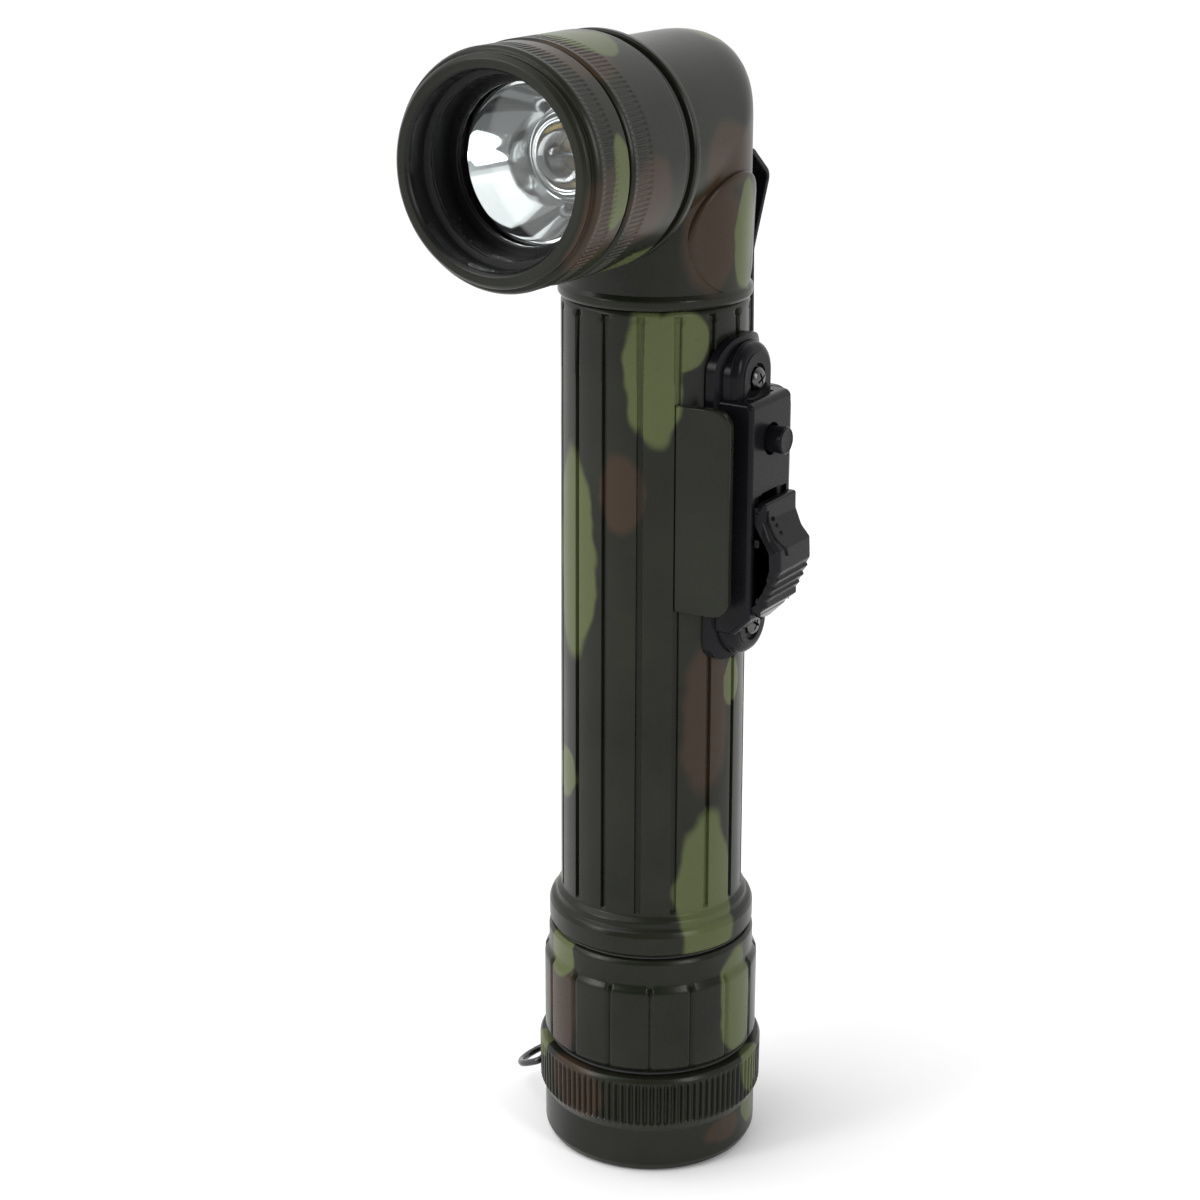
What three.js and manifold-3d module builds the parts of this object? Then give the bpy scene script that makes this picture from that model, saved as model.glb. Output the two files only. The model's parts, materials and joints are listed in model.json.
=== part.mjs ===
// Angle-head tactical flashlight for two AA cells, in millimetres, +Z up along the barrel.
// Origin: centre of the flat tail. The lens faces -Y, the switch is on +X, the belt clip on +Y.
import * as THREE from "three";
import { mergeVertices } from "three/addons/utils/BufferGeometryUtils.js";
import Module from "manifold-3d";

const wasm = await Module();
wasm.setup();

// Segment counts
const BIG = 36;
const MEDIUM = 24;
const SMALL = 16;
const TINY = 10;

// Barrel
const BORE = 11.2;
const SPIGOT_BOTTOM = 27;
const FLANGE_BOTTOM = 35.3;
const BARREL_TOP = 129.8;
const GROOVES = 16;
const GROOVE_BOTTOM = 41;
const GROOVE_TOP = 129;
const GROOVE_WIDTH = 0.9;
const GROOVE_FLOOR = 12.75;
const CAP_TURN = 0.38;

// Head: its axis is level and points to -Y at this height
const HEAD_Z = 151.6;
const NECK_RADIUS = 13.1;
const TUBE_RADIUS = 13;
const WALL_BORE = 10.6;
const CORNER_RADIUS = 8;
const CROWN = 0.045;
const NOSE_END = 24;
const PAD_Z = 139.3;
const PAD_RADIUS = 8.4;

// Switch, on the +X side
const SCREW_HIGH = 119.8;
const SCREW_LOW = 84.5;
const BUTTON_Z = 111.7;
const TAB_FACE = 16.3;
const BOX_FACE = 18.8;
const FRAME_HALF = 5;
const SCREW_HOLE = 1.15;

// Clip, on the +Y side
const CLIP_HALF = 6.5;
const CLIP_THICK = 0.8;
const RIVET_HEIGHTS = [101, 117];

// Lanyard ring, on the -X side of the storage cap
const RING_X = -17.4;
const RING_Z = 7;
const RING_WIRE = 0.55;
const RING_HALF = 4.6;
const RING_REACH = 6.6;
const RING_DROOP = 30;

const AA_RADIUS = 7.2;
const WIDE = 100;

// ---------- helpers ----------

// A three.js geometry as a manifold solid with its faces outward.
function solidFrom(geometry) {
  const bare = geometry.index ? geometry.toNonIndexed() : geometry.clone();
  bare.deleteAttribute("normal");
  bare.deleteAttribute("uv");
  const merged = mergeVertices(bare, 1e-4);
  const source = merged.index.array;
  const kept = [];
  for (let i = 0; i < source.length; i += 3) {
    const [a, b, c] = [source[i], source[i + 1], source[i + 2]];
    if (a !== b && b !== c && a !== c) kept.push(a, b, c);
  }
  const vertProperties = merged.attributes.position.array;
  const made = new wasm.Manifold(
    new wasm.Mesh({ numProp: 3, vertProperties, triVerts: new Uint32Array(kept) }),
  );
  if (made.volume() > 0) return made;
  const turned = [];
  for (let i = 0; i < kept.length; i += 3) turned.push(kept[i], kept[i + 2], kept[i + 1]);
  return new wasm.Manifold(
    new wasm.Mesh({ numProp: 3, vertProperties, triVerts: new Uint32Array(turned) }),
  );
}

// A body turned about +Z from [radius, height] points; an open profile off the axis is closed.
function turned(profile, segments = BIG) {
  const points = profile.map(([r, z]) => new THREE.Vector2(r, z));
  const last = points[points.length - 1];
  if (points[0].x !== 0 || last.x !== 0) points.push(points[0].clone());
  return solidFrom(new THREE.LatheGeometry(points, segments).rotateX(Math.PI / 2));
}

// A turned body on the head's axis: heights become distances forward along -Y.
function ahead(profile, segments = BIG) {
  return turned(profile, segments).rotate([90, 0, 0]).translate([0, 0, HEAD_Z]);
}

// A turned body on the switch side: heights become distances along +X at height z.
function sideways(profile, z, segments = SMALL) {
  return turned(profile, segments).rotate([0, 90, 0]).translate([0, 0, z]);
}

// A round rod between two points.
function rod(radius, from, to, segments = SMALL) {
  const a = new THREE.Vector3(...from);
  const b = new THREE.Vector3(...to);
  const along = b.clone().sub(a);
  const geometry = new THREE.CylinderGeometry(radius, radius, along.length(), segments);
  const up = new THREE.Vector3(0, 1, 0);
  geometry.applyQuaternion(
    new THREE.Quaternion().setFromUnitVectors(up, along.clone().normalize()),
  );
  const middle = a.add(b).multiplyScalar(0.5);
  return solidFrom(geometry.translate(middle.x, middle.y, middle.z));
}

function box(x, y, z) {
  const geometry = new THREE.BoxGeometry(x[1] - x[0], y[1] - y[0], z[1] - z[0]);
  geometry.translate((x[0] + x[1]) / 2, (y[0] + y[1]) / 2, (z[0] + z[1]) / 2);
  return solidFrom(geometry);
}

// An outline of [a, b, corner radius] points as a THREE.Shape with rounded corners.
function outline(points) {
  const shape = new THREE.Shape();
  const count = points.length;
  points.forEach(([a, b, radius = 0], i) => {
    const corner = new THREE.Vector2(a, b);
    if (radius === 0) {
      if (i === 0) shape.moveTo(a, b);
      else shape.lineTo(a, b);
      return;
    }
    const before = points[(i + count - 1) % count];
    const after = points[(i + 1) % count];
    const toBefore = new THREE.Vector2(before[0], before[1]).sub(corner).normalize();
    const toAfter = new THREE.Vector2(after[0], after[1]).sub(corner).normalize();
    const half = Math.acos(toBefore.dot(toAfter)) / 2;
    const reach = radius / Math.tan(half);
    const start = corner.clone().addScaledVector(toBefore, reach);
    const end = corner.clone().addScaledVector(toAfter, reach);
    if (i === 0) shape.moveTo(start.x, start.y);
    else shape.lineTo(start.x, start.y);
    shape.quadraticCurveTo(a, b, end.x, end.y);
  });
  shape.closePath();
  return shape;
}

// An outline in (y, z) pushed along X.
function prismX(points, x0, x1, curveSegments = 5) {
  const geometry = new THREE.ExtrudeGeometry(outline(points), {
    depth: x1 - x0,
    bevelEnabled: false,
    curveSegments,
  });
  const turn = new THREE.Matrix4().makeBasis(
    new THREE.Vector3(0, 1, 0),
    new THREE.Vector3(0, 0, 1),
    new THREE.Vector3(1, 0, 0),
  );
  return solidFrom(geometry.applyMatrix4(turn).translate(x0, 0, 0));
}

// An outline in (z, x) pushed along Y.
function prismY(points, y0, y1, curveSegments = 5) {
  const geometry = new THREE.ExtrudeGeometry(outline(points), {
    depth: y1 - y0,
    bevelEnabled: false,
    curveSegments,
  });
  const turn = new THREE.Matrix4().makeBasis(
    new THREE.Vector3(0, 0, 1),
    new THREE.Vector3(1, 0, 0),
    new THREE.Vector3(0, 1, 0),
  );
  return solidFrom(geometry.applyMatrix4(turn).translate(0, y0, 0));
}

// The closed outline of a strip of even thickness along a line of [a, b] points.
function ribbon(points, thickness) {
  const line = points.map(([a, b]) => new THREE.Vector2(a, b));
  const left = [];
  const right = [];
  line.forEach((p, i) => {
    const before = line[Math.max(i - 1, 0)];
    const after = line[Math.min(i + 1, line.length - 1)];
    const first = i === 0 ? after.clone().sub(p) : p.clone().sub(before);
    const second = i === line.length - 1 ? p.clone().sub(before) : after.clone().sub(p);
    first.normalize();
    second.normalize();
    const mean = first.clone().add(second).normalize();
    const reach = thickness / 2 / mean.dot(first);
    left.push([p.x - mean.y * reach, p.y + mean.x * reach]);
    right.unshift([p.x + mean.y * reach, p.y - mean.x * reach]);
  });
  return [...left, ...right];
}

// A round wire along an open curve.
function wire(curve, radius, steps, sides) {
  const shape = new THREE.Shape();
  for (let i = 0; i < sides; i++) {
    const turn = (i * 2 * Math.PI) / sides;
    const [a, b] = [radius * Math.cos(turn), radius * Math.sin(turn)];
    if (i === 0) shape.moveTo(a, b);
    else shape.lineTo(a, b);
  }
  shape.closePath();
  return solidFrom(
    new THREE.ExtrudeGeometry(shape, { steps, extrudePath: curve, bevelEnabled: false }),
  );
}

// A coil about +Z that may narrow towards its top.
class Coil extends THREE.Curve {
  constructor(turns, radiusLow, radiusHigh, zLow, zHigh) {
    super();
    Object.assign(this, { turns, radiusLow, radiusHigh, zLow, zHigh });
  }
  getPoint(t, target = new THREE.Vector3()) {
    const angle = t * this.turns * 2 * Math.PI;
    const radius = this.radiusLow + (this.radiusHigh - this.radiusLow) * t;
    return target.set(
      radius * Math.cos(angle),
      radius * Math.sin(angle),
      this.zLow + (this.zHigh - this.zLow) * t,
    );
  }
}

function join(...solids) {
  return wasm.Manifold.union(solids);
}

function cut(solid, ...tools) {
  return wasm.Manifold.difference([solid, ...tools]);
}

// ---------- housing ----------

// One finger guard plate beside the switch, leaning slightly inwards.
function guard(side) {
  const plate = prismY([[87.5, 9], [117, 9], [117, 17.2, 3], [87.5, 17.2, 3]], -0.75, 0.75);
  return plate
    .rotate([0, 0, -5.5 * side])
    .translate([-0.75 * 0.096, side * (9.52 - 0.75 + 0.86), 0]);
}

function barrel() {
  let body = turned([
    [BORE, SPIGOT_BOTTOM], [13, SPIGOT_BOTTOM], [13.3, 27.4], [13.3, FLANGE_BOTTOM],
    [14.9, FLANGE_BOTTOM], [15.2, 35.8], [15.2, 37.6], [14.8, 38.3], [14.2, 38.5],
    [13.6, 39], [13.45, 39.7], [13.1, 129.3], [12.8, BARREL_TOP], [BORE, BARREL_TOP],
  ]);
  const grooves = [];
  for (let i = 0; i < GROOVES; i++) {
    const half = GROOVE_WIDTH / 2;
    grooves.push(
      box([GROOVE_FLOOR, 14.2], [-half, half], [GROOVE_BOTTOM, GROOVE_TOP])
        .rotate([0, 0, (i * 360) / GROOVES]),
    );
  }
  body = cut(body, ...grooves);
  const ribs = [];
  for (const turn of [45, 135, 225, 315]) {
    ribs.push(box([AA_RADIUS + 0.5, 11.7], [-0.8, 0.8], [29, 121.5]).rotate([0, 0, turn]));
  }
  const clipPad = box([-6.4, 6.4], [11.4, 13.7], [92, 125]);
  const rivetHoles = RIVET_HEIGHTS.map((z) => rod(1, [0, 12.2, z], [0, 14.5, z], TINY));
  const screwHoles = [SCREW_HIGH, SCREW_LOW].map((z) =>
    rod(SCREW_HOLE, [11.9, 0, z], [14.5, 0, z], TINY),
  );
  return cut(
    join(body, ...ribs, guard(1), guard(-1), clipPad),
    box([9, 14.5], [-2.2, 2.2], [92.5, 103.5]),
    ...rivetHoles,
    ...screwHoles,
  );
}

// A bend of even radius: upright tube, level tube, and their common part in the corner.
function bend(radius, bottom, front, corner) {
  const back = radius + 0.3;
  const top = HEAD_Z + radius;
  const upright = rod(radius, [0, 0, bottom], [0, 0, HEAD_Z], BIG);
  const level = rod(radius, [0, 0, HEAD_Z], [0, -front, HEAD_Z], BIG);
  const inCorner = rod(radius, [0, 0, HEAD_Z - 4], [0, 0, top + 1], BIG).intersect(
    rod(radius, [0, 4, HEAD_Z], [0, back + 1, HEAD_Z], BIG).add(
      rod(radius, [0, -4, HEAD_Z], [0, 4.1, HEAD_Z], BIG),
    ),
  );
  const side = prismX(
    [[-front - 1, bottom - 1], [back, bottom - 1], [back, top, corner], [-front - 1, top]],
    -20, 20, 8,
  );
  return join(upright, level, inCorner).intersect(side);
}

function elbow() {
  const pads = rod(PAD_RADIUS, [-16, 0, PAD_Z], [16, 0, PAD_Z], MEDIUM).intersect(
    turned([[0, 130.9], [13.2, 130.9], [13.75, 147.7], [0, 147.7]]),
  );
  const bead = turned([
    [0, 129.9], [13.2, 129.9], [13.5, 130.3], [13.5, 131.3], [13.1, 132], [0, 132],
  ]);
  const flange = ahead([
    [0, 12.6], [13.2, 12.6], [13.6, 13.8], [14.9, 14.2], [15.4, 14.5], [15.4, 15.5],
    [15.2, 15.7], [0, 15.7],
  ]);
  const nose = ahead([[0, 15], [13.6, 15], [13.6, 23.6], [13.2, NOSE_END], [0, NOSE_END]]);
  const spigot = rod(10.9, [0, 0, 122], [0, 0, 131], BIG);
  const skin = bend(NECK_RADIUS, 130, 15, CORNER_RADIUS).warp((point) => {
    point[2] += Math.max(0, point[2] - HEAD_Z) * CROWN;
  });
  const outside = join(skin, pads, bead, flange, nose, spigot);
  const ledge = ahead([[9.4, 11.5], [11, 11.5], [11, 13.8], [9.4, 13.8]]);
  return join(
    cut(
      outside,
      bend(WALL_BORE, 131, NOSE_END + 1, CORNER_RADIUS - 2),
      rod(9.6, [0, 0, 121], [0, 0, 132], BIG),
    ),
    ledge,
  );
}

// ---------- switch ----------

function switchBase() {
  const plate = prismX(
    [[-6.3, 79.8, 2.5], [6.3, 79.8, 2.5], [6.3, 125.7, 4.8], [-6.3, 125.7, 4.8]], 8, 16,
  ).intersect(turned([[13.4, 70], [14.6, 70], [14.6, 130], [13.4, 130]]));
  return cut(
    plate,
    box([8, 16], [-2.6, 2.6], [91, 104.5]),
    rod(2, [8, 0, BUTTON_Z], [16, 0, BUTTON_Z]),
    ...[SCREW_HIGH, SCREW_LOW].map((z) => rod(SCREW_HOLE, [8, 0, z], [16, 0, z], TINY)),
  );
}

function switchFrame() {
  const half = FRAME_HALF;
  const tabs = prismX(
    [[-half, 80, 4.9], [half, 80, 4.9], [half, 124.8, 4.9], [-half, 124.8, 4.9]], 10, TAB_FACE,
  );
  const raised = prismY(
    [[84.2, 14], [117.6, 14], [117.6, BOX_FACE, 1], [86.7, BOX_FACE, 0.6], [84.2, TAB_FACE]],
    -half - 0.6, half + 0.6,
  );
  return cut(
    join(tabs, raised),
    rod(14.7, [0, 0, 70], [0, 0, 130], BIG),
    box([8, 20], [-2.6, 2.6], [91, 104.5]),
    rod(2.3, [8, 0, BUTTON_Z], [20, 0, BUTTON_Z]),
    rod(3.5, [8, 0, BUTTON_Z], [16.9, 0, BUTTON_Z]),
    rod(2.4, [TAB_FACE, 0, SCREW_LOW], [20, 0, SCREW_LOW]),
    ...[SCREW_HIGH, SCREW_LOW].map((z) => rod(SCREW_HOLE, [8, 0, z], [20, 0, z], TINY)),
  );
}

function slider() {
  const knob = prismY(
    [
      [87, 19], [103.5, 19], [103.5, 20.3, 0.5], [100.9, 20.3], [97.1, 22.7, 0.6],
      [94, 22.8, 0.8], [89.9, 20.8], [88.6, 20.8, 0.5],
    ],
    -4.9, 4.9, 3,
  );
  const neck = box([13.6, 19.2], [-2.2, 2.2], [92, 99.8]);
  const stem = box([10.25, 13.8], [-1.6, 1.6], [93.2, 98.6]);
  return join(knob, neck, stem);
}

function button() {
  return sideways(
    [
      [0, 16], [3.2, 16], [3.2, 16.7], [1.9, 16.7], [1.9, 20.9], [1.7, 21.2], [0, 21.25],
    ],
    BUTTON_Z,
  );
}

function buttonSpring() {
  return wire(new Coil(2.5, 1.4, 1.4, 13.5, 15.7), 0.17, 30, 5)
    .rotate([0, 90, 0])
    .translate([0, 0, BUTTON_Z]);
}

function screw(z) {
  return sideways(
    [
      [0, 12.3], [0.8, 12.3], [0.95, 12.6], [0.95, 16.35], [1.6, 16.35], [1.6, 16.7],
      [1.2, 17.1], [0, 17.2],
    ],
    z,
  );
}

// ---------- clip ----------

function beltClip() {
  const line = [
    [14.3, 94], [14.3, 146.4], [14.6, 147.25], [15.3, 147.5], [16.1, 147.15], [19.5, 144.6],
    [19.8, 143.9], [19.65, 143], [16.3, 135.2], [16.05, 133.6], [16.6, 112], [16.3, 86],
    [18.8, 77.5],
  ];
  const strip = prismX(ribbon(line, CLIP_THICK), -CLIP_HALF, CLIP_HALF);
  const holes = RIVET_HEIGHTS.map((z) => rod(1, [0, 13, z], [0, 15, z], TINY));
  return cut(strip, ...holes);
}

function rivet(z) {
  const profile = [
    [0, 12.4], [0.8, 12.4], [0.8, 14.8], [1.9, 14.8], [1.6, 15.2], [0.9, 15.4], [0, 15.4],
  ];
  return turned(profile, TINY).rotate([-90, 0, 0]).translate([0, 0, z]);
}

// ---------- electrical ----------

function cell(bottom) {
  return turned(
    [
      [0, bottom], [6.8, bottom], [AA_RADIUS, bottom + 0.4], [AA_RADIUS, bottom + 48.6],
      [6.8, bottom + 49.2], [2.7, bottom + 49.2], [2.7, bottom + 50.3], [0, bottom + 50.5],
    ],
    MEDIUM,
  );
}

function headContact() {
  const line = [
    [-3.4, 130.3], [3.2, 130.3], [4.6, 131.5], [5.2, 134], [5.2, 147.5], [4.4, 150.2],
    [2.4, HEAD_Z], [-12.8, HEAD_Z],
  ];
  const strip = prismX(ribbon(line, 0.4), -2.5, 2.5);
  const tongue = box([-2.5, 2.5], [-13.2, -12.8], [149.6, 153.6]);
  const bump = rod(1.5, [0, -13.1, HEAD_Z], [0, -14.3, HEAD_Z], TINY);
  return join(strip, tongue, bump);
}

function groundStrip() {
  return join(
    box([10.4, 10.8], [-2, 2], [26.5, 92]),
    box([10.4, 12.7], [-2, 2], [26.5, 26.9]),
  );
}

function bulbBase(turn) {
  return turn([
    [0, 14.7], [1.2, 14.7], [1.2, 15.2], [3, 15.2], [3.2, 15.5], [3.2, 17.15], [4.2, 17.15],
    [4.2, 17.8], [3.2, 17.8], [3.1, 19.9], [0, 19.9],
  ], SMALL);
}

function bulbGlass() {
  return ahead([
    [0, 25.4], [1.4, 25], [2.6, 24], [3.1, 22.6], [2.7, 21.2], [2.2, 20.05],
    [2.6, 20.05], [3.2, 21.3], [3.5, 22.6], [3, 24.3], [1.6, 25.6], [0, 25.9],
  ], SMALL);
}

function filament() {
  const lead = (x) => rod(0.16, [x, -20.05, HEAD_Z], [x, -23.5, HEAD_Z], 8);
  return join(
    lead(-0.9), lead(0.9), rod(0.24, [-1.1, -23.4, HEAD_Z], [1.1, -23.4, HEAD_Z], 8),
    rod(0.4, [-1.1, -21, HEAD_Z], [1.1, -21, HEAD_Z], 8),
  );
}

// ---------- head rings ----------

function lensRing() {
  return ahead([
    [13.9, 17.5], [15.1, 17.5], [15.5, 17.9], [15.5, 30.7], [15.2, 31], [12.9, 31],
    [12.9, 35.6], [11.5, 35.6], [11.5, 31.9], [10.3, 31.9], [10.3, 31.3], [11.6, 31.3],
    [11.6, 25], [13.9, 25],
  ]);
}

function reflector() {
  return ahead([
    [4.2, 18.2], [4.2, 22.5], [5, 22.5], [5, 21.75], [6.5, 23.6], [8.2, 26.3], [9.8, 29.5],
    [9.8, 29.8], [11.4, 29.8], [11.4, 29.2], [10.5, 29.2], [8.9, 26], [6.95, 23], [5.8, 21.4],
    [5, 20.6], [5, 18.2],
  ], MEDIUM);
}

function filterRing() {
  return ahead([
    [13.2, 31.3], [15, 31.3], [15.3, 31.6], [15.3, 38], [15, 38.35], [14.2, 38.5],
    [14.4, 38.9], [14.3, 39.5], [13.8, 39.8], [12.8, 39.8], [12.4, 39.4], [12.4, 36.3],
    [13.2, 36.3],
  ]);
}

// ---------- tail ----------

function tailCap() {
  const cup = turned([
    [0, 15.6], [5.2, 15.6], [5.2, 9], [6.6, 9], [6.6, 16.4], [12.2, 16.4], [12.2, 9],
    [13.9, 9], [13.9, 16.7], [15.3, 16.7], [15.3, 34.1], [14.9, 34.6], [13.6, 34.6],
    [13.6, 20], [0, 20],
  ]);
  const band = turned([[15, 16.9], [15.9, 17.2], [16, 29.6], [15.3, 30.7], [15, 30.7]]);
  const grooves = [];
  for (let i = 0; i < GROOVES; i++) {
    grooves.push(
      box([15.35, 17], [-0.5, 0.5], [16.8, 31]).rotate([0, 0, ((i + CAP_TURN) * 360) / GROOVES]),
    );
  }
  return join(cup, cut(band, ...grooves));
}

function tailPlate() {
  return turned([
    [0, 20.1], [12.6, 20.1], [12.6, 26.3], [12.2, 26.3], [12.2, 20.5], [0, 20.5],
  ], MEDIUM);
}

function storageCap() {
  const cup = turned([
    [0, 0], [14.6, 0], [15.6, 0.4], [16, 1.5], [16, 7], [16.8, 8.8], [16.8, 15.4],
    [16.4, 16], [14.2, 16], [14.2, 7.6], [13, 7.6], [13, 2], [0, 2],
  ]);
  const lug = prismX([[-2.2, 5.2, 0.8], [2.2, 5.2, 0.8], [2.2, 8.7, 0.8], [-2.2, 8.7, 0.8]],
    -18.8, -15, 3);
  const hole = rod(0.85, [RING_X, -4, RING_Z], [RING_X, 4, RING_Z], TINY);
  return cut(join(cup, lug), hole);
}

function lanyardRing() {
  const bar = rod(RING_WIRE, [0, -RING_HALF, 0], [0, RING_HALF, 0], 8);
  const half = RING_HALF;
  const bow = new THREE.CatmullRomCurve3([
    new THREE.Vector3(0, -half + 0.1, 0), new THREE.Vector3(-1.6, -half - 0.1, 0),
    new THREE.Vector3(-4.2, -half + 0.9, 0), new THREE.Vector3(-6, -half + 2.6, 0),
    new THREE.Vector3(-RING_REACH, 0, 0), new THREE.Vector3(-6, half - 2.6, 0),
    new THREE.Vector3(-4.2, half - 0.9, 0), new THREE.Vector3(-1.6, half + 0.1, 0),
    new THREE.Vector3(0, half - 0.1, 0),
  ]);
  return join(bar, wire(bow, RING_WIRE, 20, 8))
    .rotate([0, -RING_DROOP, 0])
    .translate([RING_X, 0, RING_Z]);
}

function spareBulbGlass() {
  return turned([
    [0, 6.6], [1.4, 6.9], [2.3, 8], [2.4, 9.3], [2.1, 10.25], [0, 10.25],
  ], SMALL);
}

function spareBulbBase() {
  return turned([
    [0, 10.4], [2.6, 10.4], [2.6, 14.4], [1.1, 14.8], [1.1, 15.2], [0, 15.2],
  ], SMALL);
}

// ---------- finish ----------

const CAMO = new THREE.MeshStandardMaterial({ color: 0x3a3f2a, roughness: 0.55 });
const BLACK = new THREE.MeshStandardMaterial({ color: 0x101112, roughness: 0.35 });
const RUBBER = new THREE.MeshStandardMaterial({ color: 0x17181a, roughness: 0.9 });
const DARK_STEEL = new THREE.MeshStandardMaterial({
  color: 0x25272a, roughness: 0.4, metalness: 0.9,
});
const SPRING_STEEL = new THREE.MeshStandardMaterial({
  color: 0x9a9ea3, roughness: 0.3, metalness: 1,
});
const BRASS = new THREE.MeshStandardMaterial({ color: 0xb0924a, roughness: 0.35, metalness: 1 });
const MIRROR = new THREE.MeshStandardMaterial({ color: 0xd8dadc, roughness: 0.1, metalness: 1 });
const CLEAR = new THREE.MeshStandardMaterial({
  color: 0xe6eeee, roughness: 0.05, transparent: true, opacity: 0.35,
});
const CELL = new THREE.MeshStandardMaterial({ color: 0x4c5a66, roughness: 0.4, metalness: 0.5 });
const RED = new THREE.MeshStandardMaterial({ color: 0xa01818, roughness: 0.2 });
const BLUE = new THREE.MeshStandardMaterial({ color: 0x1b3f9c, roughness: 0.2 });
const MILKY = new THREE.MeshStandardMaterial({ color: 0xe8e8e2, roughness: 0.5 });

function meshFrom(name, solid, material) {
  const made = solid.getMesh();
  const stride = made.numProp;
  const position = new Float32Array(made.numVert * 3);
  for (let i = 0; i < made.numVert; i++) {
    position.set(made.vertProperties.subarray(i * stride, i * stride + 3), i * 3);
  }
  const geometry = new THREE.BufferGeometry();
  geometry.setAttribute("position", new THREE.BufferAttribute(position, 3));
  geometry.setIndex(new THREE.BufferAttribute(new Uint32Array(made.triVerts), 1));
  geometry.computeVertexNormals();
  const mesh = new THREE.Mesh(geometry, material.clone());
  mesh.name = name;
  return mesh;
}

function group(name, ...meshes) {
  const made = new THREE.Group();
  made.name = name;
  made.add(...meshes);
  return made;
}

const housing = group(
  "housing",
  meshFrom("barrel", barrel(), CAMO),
  meshFrom("elbow_housing", elbow(), CAMO),
  meshFrom("belt_clip", beltClip(), BLACK),
  meshFrom("clip_rivet_lower", rivet(RIVET_HEIGHTS[0]), DARK_STEEL),
  meshFrom("clip_rivet_upper", rivet(RIVET_HEIGHTS[1]), DARK_STEEL),
);

const switchGroup = group(
  "switch",
  meshFrom("switch_base", switchBase(), BLACK),
  meshFrom("switch_frame", switchFrame(), BLACK),
  meshFrom("screw_upper", screw(SCREW_HIGH), DARK_STEEL),
  meshFrom("screw_lower", screw(SCREW_LOW), DARK_STEEL),
  meshFrom("slider", slider(), BLACK),
  meshFrom("slider_contact", box([9.7, 10.1], [-2, 2], [85, 101.2]), BRASS),
  meshFrom("signal_button", button(), BLACK),
  meshFrom("button_spring", buttonSpring(), SPRING_STEEL),
  meshFrom("switch_leaf", box([10.4, 10.8], [-2, 2], [104.5, 121.5]), BRASS),
  meshFrom("ground_strip", groundStrip(), BRASS),
);

const power = group(
  "power",
  meshFrom("cell_lower", cell(28.2), CELL),
  meshFrom("cell_upper", cell(79), CELL),
  meshFrom("head_contact", headContact(), BRASS),
  meshFrom("bulb_holder", ahead([[3.5, 14], [10.3, 14], [10.3, 17], [3.5, 17]], MEDIUM), BLACK),
  meshFrom("bulb_base", bulbBase(ahead), BRASS),
  meshFrom("bulb_glass", bulbGlass(), CLEAR),
  meshFrom("bulb_filament", filament(), SPRING_STEEL),
);

const head = group(
  "head",
  meshFrom("head_gasket", ahead([
    [13.75, 15.8], [14.5, 15.8], [14.9, 16.6], [14.5, 17.4], [13.75, 17.4],
  ]), RUBBER),
  meshFrom("lens_ring", lensRing(), CAMO),
  meshFrom("lens_gasket", ahead([
    [10.5, 30.9], [11.4, 30.9], [11.4, 31.2], [10.5, 31.2],
  ], MEDIUM), RUBBER),
  meshFrom("lens_window", ahead([[0, 29.95], [11.4, 29.95], [11.4, 30.8], [0, 30.8]], MEDIUM),
    CLEAR),
  meshFrom("reflector", reflector(), MIRROR),
  meshFrom("filter_gasket", ahead([
    [11.7, 35.75], [12.8, 35.75], [12.8, 36.15], [11.7, 36.15],
  ], MEDIUM), RUBBER),
  meshFrom("filter_ring", filterRing(), CAMO),
);

const tail = group(
  "tail",
  meshFrom("tail_gasket", turned([
    [13.6, 34.7], [14.8, 34.7], [14.8, 35.2], [13.6, 35.2],
  ]), RUBBER),
  meshFrom("tail_cap", tailCap(), CAMO),
  meshFrom("tail_spring_plate", tailPlate(), BRASS),
  meshFrom("tail_spring", wire(new Coil(3.5, 9, 4, 21, 27.65), 0.45, 54, 5), SPRING_STEEL),
  meshFrom("storage_gasket", turned([
    [14.4, 16.1], [15.4, 16.1], [15.4, 16.6], [14.4, 16.6],
  ]), RUBBER),
  meshFrom("storage_cap", storageCap(), CAMO),
  meshFrom("filter_red", turned([[0, 2.2], [12.5, 2.2], [12.5, 3.4], [0, 3.4]], MEDIUM), RED),
  meshFrom("filter_blue", turned([[0, 3.6], [12.5, 3.6], [12.5, 4.8], [0, 4.8]], MEDIUM), BLUE),
  meshFrom("filter_diffuser", turned([[0, 5], [12.5, 5], [12.5, 6.2], [0, 6.2]], MEDIUM),
    MILKY),
  meshFrom("spare_bulb_holder", turned([[2.9, 10.2], [5, 10.2], [5, 15.4], [2.9, 15.4]],
    SMALL), RUBBER),
  meshFrom("spare_bulb_base", spareBulbBase(), BRASS),
  meshFrom("spare_bulb_glass", spareBulbGlass(), CLEAR),
  meshFrom("d_ring", lanyardRing(), DARK_STEEL),
);

const flashlight = new THREE.Group();
flashlight.name = "tactical_flashlight";
flashlight.add(housing, switchGroup, power, head, tail);

export default flashlight;
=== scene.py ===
import json
import math

import bmesh
import bpy
import numpy as np
from mathutils import Matrix, Vector


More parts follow.
